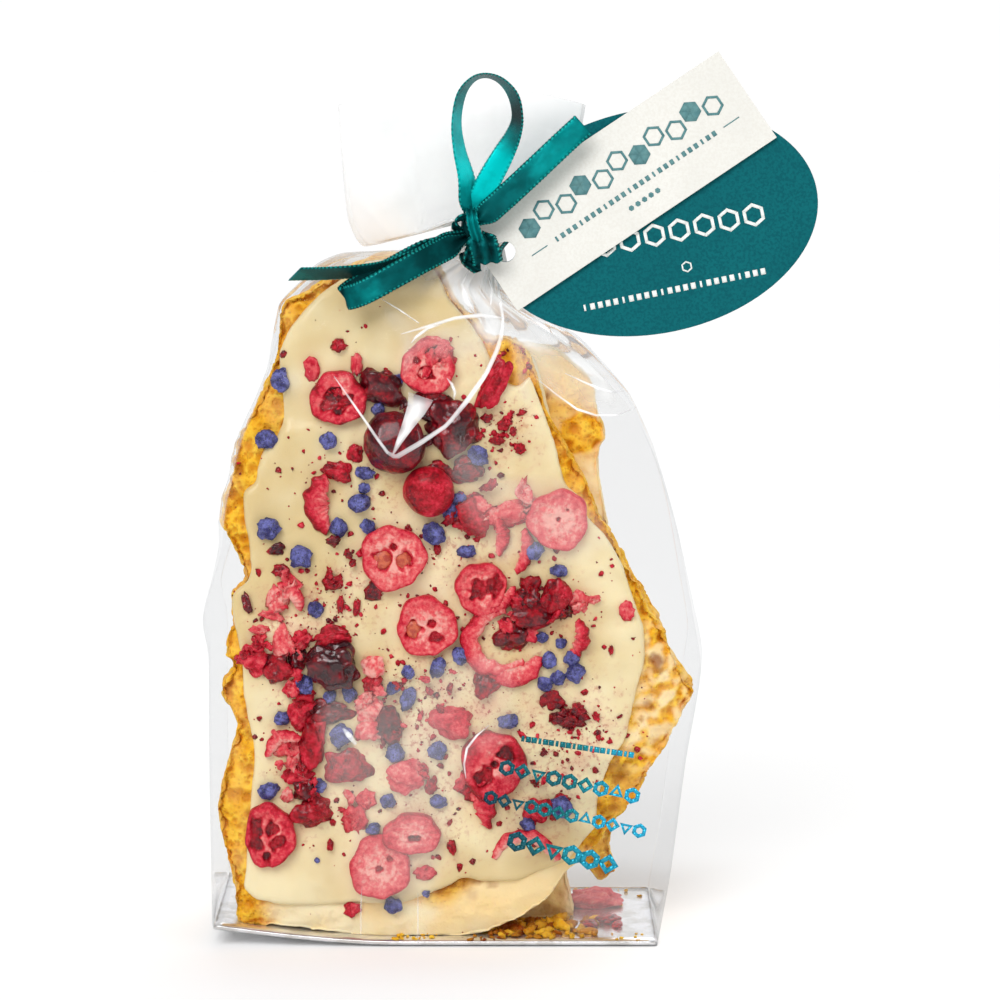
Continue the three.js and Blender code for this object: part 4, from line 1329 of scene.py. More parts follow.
def make_film():
    """The whole film as one open skin from the bottom to the cut mouth."""
    rings = len(FILM_RINGS) - 1
    bm = bmesh.new()
    bmesh.ops.create_grid(bm, x_segments=FILM_AROUND, y_segments=FILM_ALONG, size=0.5)
    painted_reflection, pale = (bm.verts.layers.float.new(name) for name in ("painted_reflection", "pale"))
    push, reflection_paint = (np.zeros((FILM_ALONG + 1, FILM_AROUND)) for _ in range(2))
    places = []
    for vert in bm.verts:
        u, v = vert.co.x + 0.5, vert.co.y + 0.5
        column, row = round(u * FILM_AROUND) % FILM_AROUND, round(v * FILM_ALONG)
        t = v * rings
        point = film_rest(u, t)
        reflection_paint[row, column] = painted_reflection_at(u, t, point)
        vert.co = point
        outward = SIDES[film_side(u)]
        places.append((vert, outward, row, column))
        if t < NECK_FROM - 0.5:
            push[row, column] = needed_push(point, outward)
    spread = taut(push, FILM_SLOPE)
    for _ in range(2):
        reflection_paint = (np.roll(reflection_paint, 1, axis=1) + 2 * reflection_paint + np.roll(reflection_paint, -1, axis=1)) / 4
        reflection_paint[1:-1] = (reflection_paint[:-2] + 2 * reflection_paint[1:-1] + reflection_paint[2:]) / 4
    # Each point takes its smoothed painted reflection; pale paints it whiter in the header and where it is
    # strong.
    for vert, outward, row, column in places:
        t = row / FILM_ALONG * rings
        vert[painted_reflection] = reflection_paint[row, column]
        vert[pale] = max(smooth(HEADER_FROM - 1, HEADER_FROM, t), 0.5 * smooth(0.4, 0.75, vert[painted_reflection]))
        if t < NECK_FROM:
            vert.co += outward * spread[row, column]
    bmesh.ops.remove_doubles(bm, verts=bm.verts, dist=1e-4)
    rim = [edge for edge in bm.edges if edge.is_boundary and all(vert.co.z < 8 for vert in edge.verts)]
    bmesh.ops.holes_fill(bm, edges=rim)
    bmesh.ops.triangulate(bm, faces=[face for face in bm.faces if len(face.verts) > 4])
    return facing_out(bm)


film = make_film()
film_tree = tree_of(film)
# How far inside the film its contents stay, and how near the film a point is looked at.
TUCK = 0.2
TUCK_REACH = 1.25


def tuck_in(bm):
    """Presses in what would stick out of the film."""
    for vert in bm.verts:
        point, normal, _, _ = film_tree.find_nearest(vert.co, TUCK_REACH)
        if point is not None and (vert.co - point).dot(normal) > -TUCK:
            vert.co = point - normal * TUCK
    return bm


for shard in (front_toffee, front_coating):
    tuck_in(shard)


def on_film(u, w, lift):
    """The point of the film's front that a pixel shows, lifted off it."""
    point, normal, _, _ = film_tree.ray_cast(CAMERA, sight(u, w))
    if point is None:
        return None
    return point + Vector((0, -lift, 0))


# Standing folds in the film that catch the light, with a painted highlight along each: pixels with their
# width.
FOLDS = [
    [(334, 376, 1), (348, 396, 2), (362, 416, 2.5), (377, 438, 3), (388, 453, 3.5)],
    [(387, 452, 3), (396, 457, 5), (420, 443, 5), (447, 425, 4), (466, 402, 5), (486, 374, 4.5),
     (498, 348, 4.5), (503, 325, 3), (502, 300, 2)],
    [(421, 396, 26), (417, 408, 20), (408, 425, 12), (399, 442, 6), (393, 454, 2)],
    [(401, 334, 1), (425, 327, 3), (455, 318, 3.5), (480, 315, 4), (503, 318, 2)],
    [(411, 343, 1), (417, 336, 3), (428, 328, 3), (442, 324, 1)],
    [(447, 378, 1), (452, 384, 3), (455, 392, 3), (454, 399, 1)],
    [(536, 378, 1), (556, 394, 2), (577, 409, 2.4), (596, 415, 2.4), (618, 415, 2), (636, 407, 1)],
    [(565, 373, 1), (582, 381, 2), (598, 388, 3), (612, 392, 2.4), (624, 391, 1)],
    [(636, 407, 1), (650, 425, 1.6), (662, 443, 1.4), (669, 456, 1)],
    [(489, 725, 1), (477, 735, 2.2), (467, 748, 2.6), (464, 764, 2), (466, 778, 1)],
    [(343, 728, 2), (349, 735, 6), (356, 744, 3)],
    [(500, 262, 2), (498, 290, 3.5), (503, 318, 3), (502, 340, 2)],
    [(470, 268, 1), (462, 284, 4), (466, 300, 5), (474, 312, 2)],
    [(486, 270, 1), (492, 290, 3), (490, 312, 1)],
    [(520, 316, 1), (536, 322, 3.5), (548, 330, 4), (552, 342, 1)],
    [(382, 299, 1), (400, 310, 1.6), (419, 323, 1.4)],
    [(362, 886, 0.6), (361, 905, 2), (361, 935, 2)],
    [(418, 892, 0.6), (418, 908, 2), (418, 942, 2)],
]
FAINT_FOLDS = 2
FOLD_LIFT = 0.35


def make_folds():
    """Narrow fins of doubled film lying on the front, each with a painted highlight."""
    made = pile_of("painted_reflection")
    for number, stops in enumerate(FOLDS):
        spots = [on_film(u, w, FOLD_LIFT) for u, w, _ in stops]
        reflection_strength = 0.3 if number >= len(FOLDS) - FAINT_FOLDS else 1.0
        if any(spot is None for spot in spots):
            continue

        def place(u, v, spots=spots, stops=stops):
            at = v * (len(stops) - 1)
            number = min(int(at), len(stops) - 2)
            share = at - number
            point = spots[number].lerp(spots[number + 1], share)
            run = (spots[number + 1] - spots[number]).normalized()
            wide = mix(stops[number][2], stops[number + 1][2], share) * PIXEL
            across = run.cross(Vector((0, -1, 0))).normalized()
            ridge = Vector((0, -0.12, 0)) * (1 - abs(2 * u - 1))
            return point + across * (u - 0.5) * wide + ridge

        # The painted highlight along a fin, strongest in its middle, with painted glints along it.
        def painted_reflection(u, v, reflection_strength=reflection_strength, number=number):
            glint = 0.8 + 0.5 * noise_at((v * 6, u, number), 1)
            return reflection_strength * glint * math.sin(math.pi * mix(0.12, 0.88, v)) * (1 - 0.45 * abs(2 * u - 1))

        absorb(made, sheet(6, 30, place, {"painted_reflection": painted_reflection}))
    return made


folds = make_folds()


# Foil marks on the film's front: rows of plain shapes where the print is.

FOIL_THICK = 0.06
PRINT_LIFT = 0.25


def plate(bm, corners, raised):
    """A thin plate from corner points, raised by a vector."""
    bmesh.ops.translate(bm, vec=raised, verts=drawn_out(bm, corners))


def ring_plate(bm, centre, right, up, radius, width, sides, raised, turn=0.0):
    """A flat ring with few sides, such as a hexagon drawn in outline."""
    for i in range(sides):
        corners = []
        for k, r in ((i, radius), (i + 1, radius), (i + 1, radius - width), (i, radius - width)):
            angle = 2 * math.pi * k / sides + turn
            corners.append(centre + right * r * math.cos(angle) + up * r * math.sin(angle))
        plate(bm, corners, raised)


def bar_plate(bm, centre, right, up, wide, high, raised):
    """A flat bar."""
    plate(bm, [centre + right * a * wide * 0.5 + up * b * high * 0.5
               for a, b in ((-1, -1), (1, -1), (1, 1), (-1, 1))], raised)


# Rows of the print: from and to pixel, how many shapes, their half height and stroke in pixels.
PRINT_ROWS = [
    ((520, 738), (634, 755), 20, 4.2, 0), ((499, 766), (640, 797), 9, 8.8, 4.2),
    ((484, 796), (646, 832), 12, 7.9, 3.8), ((508, 839), (617, 866), 6, 11, 5.6),
]
PRINT_SIDES = (6, 4, 3, 6, 6, 4, 6, 3)


def make_foil_print():
    """Rows of small cells, diamonds and bars that run down to the right across the lower front."""
    bm = bmesh.new()
    raised = SIDES["front"] * FOIL_THICK
    for (u0, w0), (u1, w1), count, half, stroke in PRINT_ROWS:
        slope = math.atan2(w0 - w1, u1 - u0)
        right = Vector((math.cos(slope), 0, math.sin(slope)))
        up = Vector((-math.sin(slope), 0, math.cos(slope)))
        for i in range(count):
            t = (i + 0.5) / count
            centre = on_film(mix(u0, u1, t), mix(w0, w1, t), PRINT_LIFT)
            if centre is None:
                continue
            radius = half * PIXEL
            if stroke == 0:
                bar_plate(bm, centre, right, up, radius * (1.3 if i % 3 else 0.7), radius * 1.4, raised)
                continue
            sides = PRINT_SIDES[i % len(PRINT_SIDES)]
            turn = {6: math.pi / 6, 4: 0.0, 3: math.pi / 2 if i % 2 else -math.pi / 2}[sides]
            width = min(radius * 0.6, stroke * PIXEL / math.cos(math.pi / sides))
            ring_plate(bm, centre, right, up, radius, width, sides, raised, turn)
    return facing_out(bm)


foil_print = make_foil_print()


# Ribbon: the same lines as the CAD's, drawn fine, with stitched edges.

def curve_at(points, t):
    """A point of a smooth curve through points, at t from 0 to 1."""
    last = len(points) - 1
    at = t * last
    number = min(int(at), last - 1)
    s = at - number
    a, b, c, d = (Vector(points[clamp(k, 0, last)]) for k in (number - 1, number, number + 1, number + 2))
    if number == 0:
        a = 2 * b - c
    if number == last - 1:
        d = 2 * c - b
    return 0.5 * (
        2 * b + (c - a) * s + (2 * a - 5 * b + 4 * c - d) * s * s + (3 * b - a - 3 * c + d) * s ** 3)


def stepped(stops, v):
    """A value at v between (v, value) stops."""
    for (v0, first), (v1, second) in zip(stops, stops[1:]):
        if v <= v1:
            return mix(first, second, smooth(v0, v1, v))
    return stops[-1][1]


PICOT = 0.85


def ribbon_strip(places, width, thick, skew=0.0, crumple=0.0, pinch=(1, 1), pleats=0.0,
                 painted_shading=((0, 0.35), (1, 0.35))):
    """A satin strip along places (point, direction of its width), with picots along both edges.

    pinch narrows its start and its end; painted_shading is (v, how bright) along it, painted shade and
    painted highlight, and pleats add painted shade across it."""
    points = [point for point, _ in places]
    widths = [across for _, across in places]
    length = sum((Vector(b) - Vector(a)).length for a, b in zip(points, points[1:]))
    steps = max(16, int(length / 0.4))

    def frame_at(v):
        centre = curve_at(points, v)
        run = (curve_at(points, min(1, v + 0.01)) - curve_at(points, max(0, v - 0.01))).normalized()
        across = curve_at(widths, v)
        across = (across - run * across.dot(run)).normalized()
        return centre, run, across

    def section(u):
        """Across share -1 to 1 and side of the strip, walking round it."""
        turn = u * 4
        if turn < 2:
            return turn - 1, 1
        return 3 - turn, -1

    def place(u, v):
        centre, run, across = frame_at(v)
        face = run.cross(across)
        share, side = section(u)
        reach = min(0.2, 7 / length)
        narrow = mix(pinch[0], 1, smooth(0, reach, v)) * mix(pinch[1], 1, smooth(1, 1 - reach, v))
        picot = 1 + 0.035 * math.sin(v * length * 2 * math.pi / PICOT)
        edge = max(0.0, 1 - abs(share)) ** 0.5
        bow = crumple * noise_at((share * 2, v * length * 0.35, thick), 1.2)
        bow += (1 - narrow) * 0.9 * math.cos(share * 5) + pleats * math.sin(share * 8 + 3 * v)
        slant = skew * share * smooth(0.8, 1.0, v)
        return (
            centre + across * share * picot * narrow * width / 2
            + face * (side * thick * 0.5 * min(1, edge * 3) + bow) + run * slant)

    # shade is painted shade and painted highlight along the strip, with painted shade across its pleats.
    tones = {
        "across": lambda u, v: section(u)[0], "along": lambda u, v: v * length,
        "shade": lambda u, v: stepped(painted_shading, v) + 0.3 * pleats * math.sin(section(u)[0] * 8 + 3 * v),
    }
    bm = sheet(24, steps, place, tones)
    bmesh.ops.holes_fill(bm, edges=[edge for edge in bm.edges if edge.is_boundary])
    return facing_out(bm)


RIBBON = 6
THIN = 0.38
LOOP_Y = -13
UPRIGHT_LOOP = [
    ((8.6, LOOP_Y - 0.9, 176), (-0.9, -0.3, -0.1)), ((8.4, LOOP_Y, 180), (-0.85, -0.5, -0.1)),
    ((7.7, LOOP_Y, 186.5), (-0.65, -0.75, -0.1)), ((6.1, LOOP_Y, 193), (-0.5, -0.86, 0)),
    ((5.4, LOOP_Y, 199.4), (-0.4, -0.92, 0)), ((6.5, LOOP_Y, 205.9), (-0.35, -0.92, 0.15)),
    ((9.2, LOOP_Y, 209.6), (-0.15, -0.95, 0.2)), ((12.6, LOOP_Y, 210.6), (0, -0.97, 0.22)),
    ((16.2, LOOP_Y, 209.2), (0.2, -0.95, 0.25)), ((19, LOOP_Y, 205.6), (0.4, -0.88, 0.2)),
    ((19.9, LOOP_Y, 200.8), (0.47, -0.88, 0)), ((19, LOOP_Y, 196.8), (0.6, -0.8, -0.2)),
    ((16.8, LOOP_Y, 192.4), (0.75, -0.55, -0.35)), ((13.9, LOOP_Y, 187.2), (0.83, -0.3, -0.48)),
    ((11.7, LOOP_Y, 182.9), (0.87, -0.2, -0.45)), ((10.1, LOOP_Y, 179), (0.9, -0.2, -0.4)),
    ((8.8, LOOP_Y - 0.9, 176), (0.9, -0.2, -0.2)),
]
TAIL_WAY = (-0.66, 0, 0.75)
RIGHT_TAIL = [
    ((9.2, -14.2, 175.4), TAIL_WAY), ((13.4, -14.5, 178.7), TAIL_WAY), ((18.3, -13.7, 183), TAIL_WAY),
    ((24, -12.7, 188.2), TAIL_WAY), ((30.2, -11.7, 194), TAIL_WAY), ((35.6, -11, 198.9), TAIL_WAY),
]
LEFT_TAIL = [
    ((7.6, -14.2, 173.4), (0.2, -0.3, 0.9)), ((1.8, -15.8, 171), (0.2, -0.5, 0.85)),
    ((-4.2, -17.7, 168.1), (0.2, -0.65, 0.75)), ((-11.3, -19.6, 165.9), (0.1, -0.8, 0.62)),
    ((-17.3, -21, 164.9), (0, -0.8, 0.6)), ((-25, -22, 164.4), (0, -0.8, 0.6)),
    ((-32.8, -22.6, 164.3), (0, -0.8, 0.6)),
]
FLAT_WAY = (-0.45, 0, 0.89)
FLAT_LOOP = [
    ((7.8, -14.6, 172.4), (-0.3, 0, 0.95)), ((3, -17.2, 170), FLAT_WAY), ((-2.6, -20, 167.3), FLAT_WAY),
    ((-9.6, -22.2, 163.6), FLAT_WAY), ((-16.7, -23, 159.9), FLAT_WAY), ((-21, -21.8, 158.6), FLAT_WAY),
    ((-17.4, -20, 161.2), FLAT_WAY), ((-10.3, -19.4, 164.8), FLAT_WAY), ((-3.3, -17.2, 168.4), FLAT_WAY),
    ((7.4, -13.4, 173), (-0.3, 0, 0.95)),
]
KNOT = Vector((8.6, -14.0, 175.0))
HOLE = Vector((17, -10.5, 168.5))


def at_depth(u, w, y):
    """The point at depth y that a pixel shows."""
    return tuple(seen_at(u, w, lambda z: y))


def neck_band():
    """The band round the neck, upright, its ends meeting."""
    places = []
    for i in range(25):
        angle = 2 * math.pi * i / 24
        places.append((
            (NECK_X + 7.75 * math.cos(angle), 5.65 * math.sin(angle), NECK_Z - 0.3 + 1.4 * math.cos(angle)),
            (0, 0, 1)))
    # The band gets an even painted shade.
    return ribbon_strip(places, 3.6, 0.7, crumple=0.1, painted_shading=((0, 0.2), (1, 0.2)))


# The knot: strands by pixel and depth, with the way of their width, width, crumple, pleats, how
# pinched their ends are, and painted shade.
KNOT_STRANDS = [
    ([(470, 208, -13), (471, 214, -16.2), (473, 225, -17.4), (477, 237, -17.2), (479, 244, -16.2),
      (477, 248, -14)],
     (1, 0, 0.1), 3.0, 0.4, 0.3, (0.7, 0.6), 0.5),
    ([(473, 221, -14), (465, 217, -16), (458, 221, -16), (457, 228, -15), (465, 232, -14)],
     (0.3, -0.6, 0.7), 2.6, 0.3, 0.1, (0.6, 0.6), 0.14),
    ([(479, 232, -15), (482, 243, -16.9), (486, 254, -17), (488, 263, -16)],
     (0.98, 0, -0.16), 7.4, 0.7, 0.55, (0.22, 1), 0.2),
    ([(477, 238, -15), (474, 248, -16), (471, 256, -16), (471, 260, -15.6)],
     (0.95, 0.2, 0.1), 3.8, 0.6, 0.35, (0.4, 1), 0.1),
    ([(464, 252, -14.6), (467, 260, -15.2), (474, 266, -15.4), (481, 271, -15)],
     (0.5, 0.2, 0.85), 3.0, 0.4, 0.2, (0.9, 0.1), 0.02),
]
THREAD = 0.9


def make_ribbon():
    x, y, z = HOLE
    thread = [at_depth(476, 238, -13.6), at_depth(488, 254, -13.4)] + [
        (x + dx, y + dy, z + dz) for dx, dy, dz in (
            (-1.7, -1.2, -1.1), (-1.5, 0.6, -0.9), (-0.9, 3.4, 0.6), (0.6, 6.6, 2.2), (1.2, 9.4, 3.2))]
    # Each strip's painted_shading paints shade near the knot and in its folds, and highlight along its legs.
    strips = [
        ribbon_strip(UPRIGHT_LOOP, RIBBON, THIN, pinch=(0.3, 0.3), painted_shading=(
            (0, 0.1), (0.07, 0.5), (0.14, 0.95), (0.24, 0.9), (0.34, 0.5), (0.42, 0.35),
            (0.52, 0.45), (0.62, 0.1), (0.7, 0.5), (0.78, 1.0), (0.88, 0.95), (1, 0.1))),
        ribbon_strip(RIGHT_TAIL, RIBBON, THIN, crumple=0.15, pinch=(0.35, 1), painted_shading=(
            (0, 0.3), (0.15, 0.2), (0.4, 0.3), (0.7, 0.55), (1, 0.5))),
        ribbon_strip(LEFT_TAIL, RIBBON, THIN, skew=-1.6, pinch=(0.4, 1), painted_shading=(
            (0, 0.1), (0.5, 0.2), (0.75, 0.22), (1, 0.4))),
        ribbon_strip(FLAT_LOOP, RIBBON, THIN, crumple=0.12, pinch=(0.4, 0.4), painted_shading=(
            (0, 0.1), (0.15, 0.2), (0.3, 0.22), (0.42, 0.42), (0.5, 0.34), (0.56, 0.08),
            (0.8, 0.2), (1, 0.05))),
        neck_band(),
        ribbon_strip([(spot, (0, 0, 1)) for spot in thread], THREAD, 0.9, crumple=0.2),
    ]
    # Each knot strand is painted with its own shade, darker at its start.
    for stops, way, wide, crumple, pleats, pinch, shade in KNOT_STRANDS:
        strips.append(ribbon_strip(
            [(at_depth(*stop), way) for stop in stops], wide, 0.5, 0.0, crumple, pinch, pleats,
            ((0, shade * 0.4), (0.35, shade), (0.7, shade * 0.7), (1, shade))))
    made = pile_of("across", "along", "shade")
    for strip in strips:
        absorb(made, strip)
    # The knot's core has no shade values, which read as 0: a painted shade inside the knot.
    core = ball(3)
    bmesh.ops.scale(core, vec=(2.2, 2.0, 3.6), verts=core.verts)
    bmesh.ops.translate(core, vec=KNOT, verts=core.verts)
    absorb(made, core)
    return made


# Tags: the CAD's own cards keep their shape; prints are thin raised marks on them.
TAG_LEAN = math.radians(11)
TAG_TURN = 33.9
OVAL_TURN = 11.6
CARD_FRONT = 0.3


def on_tag(bm, turn, back):
    """Moves a print from its own plane, the tag's hole at its origin, to where the tag's face lies."""
    place = (
        Matrix.Translation(HOLE + Vector((0, back, 0)))
        @ Matrix.Rotation(math.pi / 2 - TAG_LEAN, 4, "X") @ Matrix.Rotation(math.radians(turn), 4, "Z"))
    bmesh.ops.transform(bm, matrix=place, verts=bm.verts)
    return facing_out(bm)


PLANE = (Vector((1, 0, 0)), Vector((0, 1, 0)))
INK_RAISED = Vector((0, 0, 0.05))


def ring_mark(bm, x, y, radius, width, turn=0.0):
    """A six-sided mark in a tag's own plane, standing on its front face."""
    ring_plate(bm, Vector((x, y, CARD_FRONT + 0.02)), *PLANE, radius, width, 6, INK_RAISED, turn)


def bar_mark(bm, x, y, wide, high):
    bar_plate(bm, Vector((x, y, CARD_FRONT + 0.02)), *PLANE, wide, high, INK_RAISED)


def make_cream_print():
    """Honeycomb cells in a row, a dotted line and a small emblem on the swing tag."""
    bm = bmesh.new()
    for i in range(11):
        ring_mark(bm, 8 + i * 5.3, 2.3 + (0.9 if i % 2 else -0.9), 2.7, 0.7 if i % 3 else 2.69, math.pi / 6)
    for i in range(27):
        bar_mark(bm, 12 + i * 1.75, -4.4, 1.0 if i % 4 else 0.5, 1.3)
    for x in (7, 62.5):
        bar_mark(bm, x, -4.4, 4.5, 0.25)
    for i in range(5):
        ring_mark(bm, 31 + i * 1.9, -8.2, 0.7, 0.69)
    return on_tag(bm, TAG_TURN, 0)


def make_oval_print():
    """Pale cells and lines on the part of the oval tag that shows."""
    bm = bmesh.new()
    middle = 36
    for y, count, radius, width in ((14.5, 5, 2.9, 0.9), (-3.4, 7, 2.9, 0.9), (-12.4, 1, 1.4, 0.4)):
        for i in range(count):
            x = middle + (i - (count - 1) / 2) * radius * 2.1 + 6
            ring_mark(bm, x, y, radius, width, math.pi / 6)
    for i in range(24):
        bar_mark(bm, middle - 20 + i * 1.9, -17.2, 1.15 if i % 5 else 0.5, 1.5)
    return on_tag(bm, OVAL_TURN, 1.1)


# The card in the bottom of the bag, its edge, and the crumbs on it.
CARD_HALF = (54, 24)


def thickened(bm, thick):
    bmesh.ops.solidify(bm, geom=bm.faces, thickness=thick)
    return facing_out(bm)


def make_base_card():
    def place(u, v):
        x, y = (mix(-half, half, share) for half, share in zip(CARD_HALF, (u, v)))
        return Vector((x, y, 0.55 + curl(x)))

    return thickened(sheet(54, 12, place), 0.45)


def make_card_edge():
    """The cut silver edge that runs all round the bottom card."""
    def place(u, v):
        x, y = ((half + 0.1) * share for half, share in zip(CARD_HALF, square_walk(u)))
        return Vector((x, y, 0.25 + 0.85 * v + curl(x)))

    return thickened(sheet(240, 3, place), 0.12)


# Rubble on the card, by pixel: from and to across, from and to up, how many, size, burnt from and to.
RUBBLE = [
    (485, 596, 921, 938, 60, 1.3, 0.0, 0.9), (540, 568, 920, 930, 10, 2.0, 0.0, 0.2),
    (490, 560, 924, 936, 26, 1.4, 0.8, 1.0), (395, 440, 932, 941, 16, 0.5, 0.0, 0.1),
    (600, 655, 930, 941, 9, 0.35, 0.0, 0.4), (470, 520, 936, 942, 10, 0.5, 0.6, 1.0),
]
FRUIT_BITS = [(594, 905, 27, 14, 0.36), (607, 922, 11, 7, 0.7), (590, 926, 8, 5, 0.75), (617, 926, 5, 4, 0.6)]


def on_card(u, w):
    """The point of the card's top that a pixel shows."""
    direction = sight(u, w)
    point = CAMERA + direction * ((CARD_TOP - CAMERA.z) / direction.z)
    return Vector((point.x, clamp(point.y, -23, 22), CARD_TOP + curl(point.x)))


def make_base_crumbs():
    """Broken toffee on the card: golden splinters, dark burnt ones and pale crumbs."""
    chance = random.Random(17)
    bm = pile_of("crust", "burnt")

    def drop(x, y, size, burnt):
        crumb = lump(size * chance.uniform(0.8, 2.0), size * chance.uniform(0.5, 1.1), size * 0.7, 0.8, 0,
                     chance.uniform(0, 99), 2)
        turn = Matrix.Rotation(chance.uniform(0, 6.28), 4, "Z")
        layer = crumb.verts.layers.float.new("burnt")
        for vert in crumb.verts:
            vert[layer] = burnt
        absorb(bm, crumb, Matrix.Translation((x, y, CARD_TOP + curl(x) + size * 0.4)) @ turn)

    for u0, u1, w0, w1, count, size, burnt_from, burnt_to in RUBBLE:
        for _ in range(count):
            spot = on_card(chance.uniform(u0, u1), chance.uniform(w0, w1))
            drop(spot.x, spot.y, size * chance.uniform(0.4, 1.3), chance.uniform(burnt_from, burnt_to))
    for _ in range(90):
        x, y, size = chance.uniform(-50, 52), chance.uniform(6, 22), chance.uniform(0.2, 0.7)
        drop(x, y, size, chance.choice((0.0, 0.3)))
    return settle(bm)


def make_base_fruit():
    """A flat pink piece and a few dark bits of fruit lying on the card at the right."""
    bm = pile_of("tone")
    for number, (u, w, wide, high, tone) in enumerate(FRUIT_BITS):
        deep = 4.5 if number == 0 else 2
        piece = lump(wide * PIXEL, deep, high * PIXEL * 0.7, 0.45, tone, number + 171, 4)
        absorb(bm, piece, Matrix.Translation(on_card(u, w) + Vector((0, 0, high * PIXEL * 0.45))))
    return settle(bm)


# Toppings on the back shard, scattered by rule.

def make_back_toppings():
    chance = random.Random(23)
    fruit_pile, violet_pile = pile_of("tone"), pile_of("tone")
    hollows = [(-0.3, 0.1, 0.24), (0.3, -0.1, 0.22), (0, 0.4, 0.14)]
    for number in range(86):
        x, z = chance.uniform(-42, 48), chance.uniform(12, 118)
        hit = back_tree.ray_cast(Vector((x, FAR_OUT, z)), SIDES["front"])[0]
        if hit is None or hit.y < THIRD_FRONT + THIRD_THICK:
            continue
        kind = number % 8
        pile = fruit_pile
        if kind == 0:
            size = chance.uniform(5.5, 7.2)
            made, lift = cranberry(size, size * 0.95, 2.4, 0.04, number, hollows), 1
        elif kind in (1, 2, 3):
            size = chance.uniform(1.8, 2.8)
            made, lift, pile = violet(size, size * 0.9, size * 0.8, number), size * 0.4, violet_pile
        elif kind in (4, 5):
            size, tone = chance.uniform(2, 5), chance.uniform(0.4, 0.9)
            made, lift = lump(size, size * 0.8, size * 0.5, 0.5, tone, number), 0.8
        else:
            size, tone = chance.uniform(1, 3), chance.uniform(0.2, 0.7)
            made, lift = flake(size, size * chance.uniform(0.6, 1.2), 0.7, tone, number), 0.6
        outward = SIDES["back"]
        absorb(pile, made, lying(hit + outward * lift, outward, chance.uniform(0, 360), 0.15, chance))
    return tuck_in(fruit_pile), violet_pile


back_fruit, back_violets = make_back_toppings()
PIECES = [
    ("film", film, FILM, "clear_film", ["bag"]),
    ("film_folds", folds, FOLD_FILM, "clear_film"),
    ("foil_print", foil_print, FOIL, "foil_print"),
    ("front_toffee", front_toffee, HONEYCOMB, "honeycomb"),
    ("front_coating", front_coating, CHOCOLATE, "white_chocolate"),
    ("second_toffee", second_toffee, HONEYCOMB, "honeycomb"),
    ("second_coating", second_coating, CHOCOLATE, "white_chocolate"),
    ("back_toffee", third_toffee, HONEYCOMB, "honeycomb"),
    ("back_coating", third_coating, CHOCOLATE, "white_chocolate"),
    ("front_fruit", fruit, FRUIT, "cranberry"),
    ("torn_fruit", torn, FRUIT, "cranberry"),
    ("cranberry_seeds", seeds, SEED, "cranberry"),
    ("front_violets", violets, VIOLET, "violet_candy"),
    ("fruit_crumbs", crumbs, FRUIT, "dark_fruit"),
    ("back_fruit", back_fruit, FRUIT, "cranberry"),
    ("back_violets", back_violets, VIOLET, "violet_candy"),
    ("base_card", make_base_card(), SILVER, "base_card"),
    ("card_edge", make_card_edge(), SILVER, "base_card"),
    ("base_fruit", make_base_fruit(), FRUIT, "cranberry"),
    ("base_crumbs", make_base_crumbs(), HONEYCOMB, "honeycomb"),
    ("satin_bow", make_ribbon(), SATIN, "satin_ribbon", ["ribbon"]),
    ("cream_tag_print", make_cream_print(), TEAL_INK, "cream_card"),
    ("oval_tag_print", make_oval_print(), PALE_INK, "teal_card"),
]
for piece in PIECES:
    finish_piece(*piece)

for node, material in (("tag_cream", CREAM_CARD), ("tag_oval", TEAL_CARD)):
    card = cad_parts[node]
    card.data.materials.clear()
    card.data.materials.append(material)

# Floor, light and camera.
FLOOR_LEVEL = 1.016
# Base and glow: near the bag and far from it.
NEAR_TONES = (0.9, 0.05)
FAR_TONES = (0.45, 0.533)
SHADOW_GROUND = (0.058, 0.03)
SHADOW_FADE = 0.035


def make_floor():
    """A white floor that glows a little, but for the ground under the bag, where its shadow can lie."""
    bpy.ops.mesh.primitive_plane_add(size=6, location=(0, 0, -0.0002))
    floor = bpy.context.object
    floor.name = "floor"
    made = Finish("white_floor", 0.9, Specular_IOR_Level=0.0, Emission_Strength=1.0)
    place = add(made.tree, "ShaderNodeTexCoord")
    split = add(made.tree, "ShaderNodeSeparateXYZ", {0: place.outputs["Object"]})
    beyond = [
        made.minus(maths(made.tree, "ABSOLUTE", split.outputs[axis]), half)
        for axis, half in enumerate(SHADOW_GROUND)]
    near = add(made.tree, "ShaderNodeMapRange", {
        "Value": maths(made.tree, "MAXIMUM", *beyond), "From Min": 0.0, "From Max": SHADOW_FADE,
        "To Min": 1.0, "To Max": 0.0,
    }, interpolation_type="SMOOTHSTEP").outputs[0]
    for socket, far, close in zip(("Base Color", "Emission Color"), FAR_TONES, NEAR_TONES):
        made.set(socket, made.blend(near, (far, far, far, 1), (close, close, close, 1)))
    floor.data.materials.append(made.material)


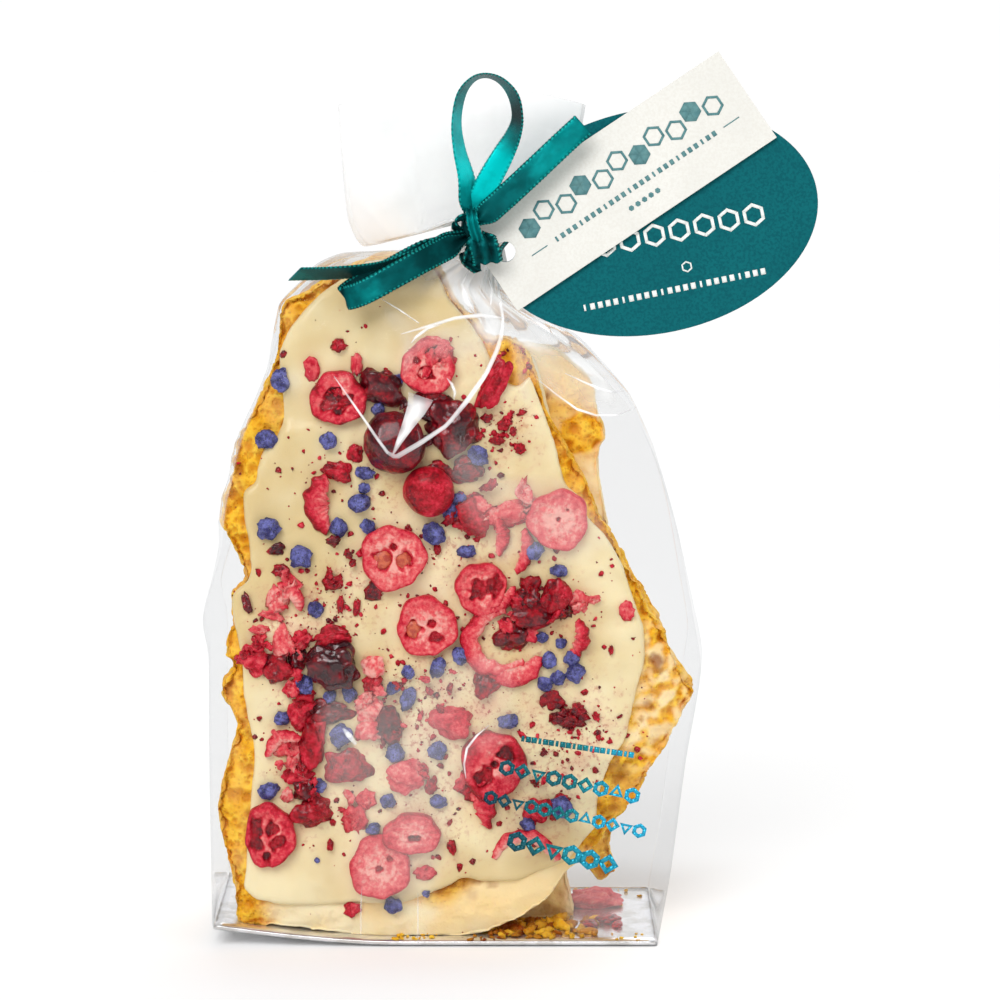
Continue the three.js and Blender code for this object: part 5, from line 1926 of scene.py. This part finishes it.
def put_light(name, kind, place, target, energy, **settings):
    """A light that looks from its place at a target."""
    data = bpy.data.lights.new(name, kind)
    data.energy = energy
    for key, value in settings.items():
        setattr(data, key, value)
    light = bpy.data.objects.new(name, data)
    light.location = place
    light.rotation_euler = (Vector(target) - Vector(place)).to_track_quat("-Z", "Y").to_euler()
    scene.collection.objects.link(light)


def make_world():
    """A white room for the eye, softer for the object; gloss mirrors it dark in front, white behind."""
    world = bpy.data.worlds.new("studio")
    world.use_nodes = True
    tree = world.node_tree
    rays = add(tree, "ShaderNodeLightPath")
    way = add(tree, "ShaderNodeSeparateXYZ", {0: add(tree, "ShaderNodeTexCoord").outputs["Generated"]})
    mirrored = add(tree, "ShaderNodeMapRange", {
        "Value": way.outputs[1], "From Min": -0.3, "From Max": 0.5, "To Min": 0.22, "To Max": 1.0,
    }, interpolation_type="SMOOTHSTEP")
    lit = add(tree, "ShaderNodeMix", {0: rays.outputs["Is Glossy Ray"], 2: 0.46, 3: mirrored.outputs[0]})
    level = add(tree, "ShaderNodeMix", {0: rays.outputs["Is Camera Ray"], 2: lit.outputs[0], 3: FLOOR_LEVEL})
    background = tree.nodes["Background"]
    background.inputs["Color"].default_value = (1, 1, 1, 1)
    tree.links.new(level.outputs[0], background.inputs["Strength"])
    scene.world = world


def make_camera():
    data = bpy.data.cameras.new("camera")
    data.lens = LENS
    data.sensor_width = SENSOR
    camera = bpy.data.objects.new("camera", data)
    camera.location = CAMERA * MM
    camera.rotation_euler = (math.pi / 2 - PITCH, 0, 0)
    scene.collection.objects.link(camera)
    scene.camera = camera


make_floor()
make_world()
put_light("key", "SUN", (-0.2, -0.72, 0.72), (0, 0, 0), 1.7, angle=math.radians(40))
put_light("back", "SUN", (0.25, 0.6, 0.75), (0, 0, 0), 1.0, angle=math.radians(50))
put_light("window", "AREA", (-0.5, -0.75, 0.7), (0, 0, 0.1), 2.0, shape="RECTANGLE", size=0.3, size_y=0.4)
put_light(
    "right_strip", "AREA", (0.75, -0.25, 0.35), (0, 0, 0.12), 1.0, shape="RECTANGLE", size=0.12, size_y=0.6)
make_camera()
scene.view_settings.view_transform = "Standard"
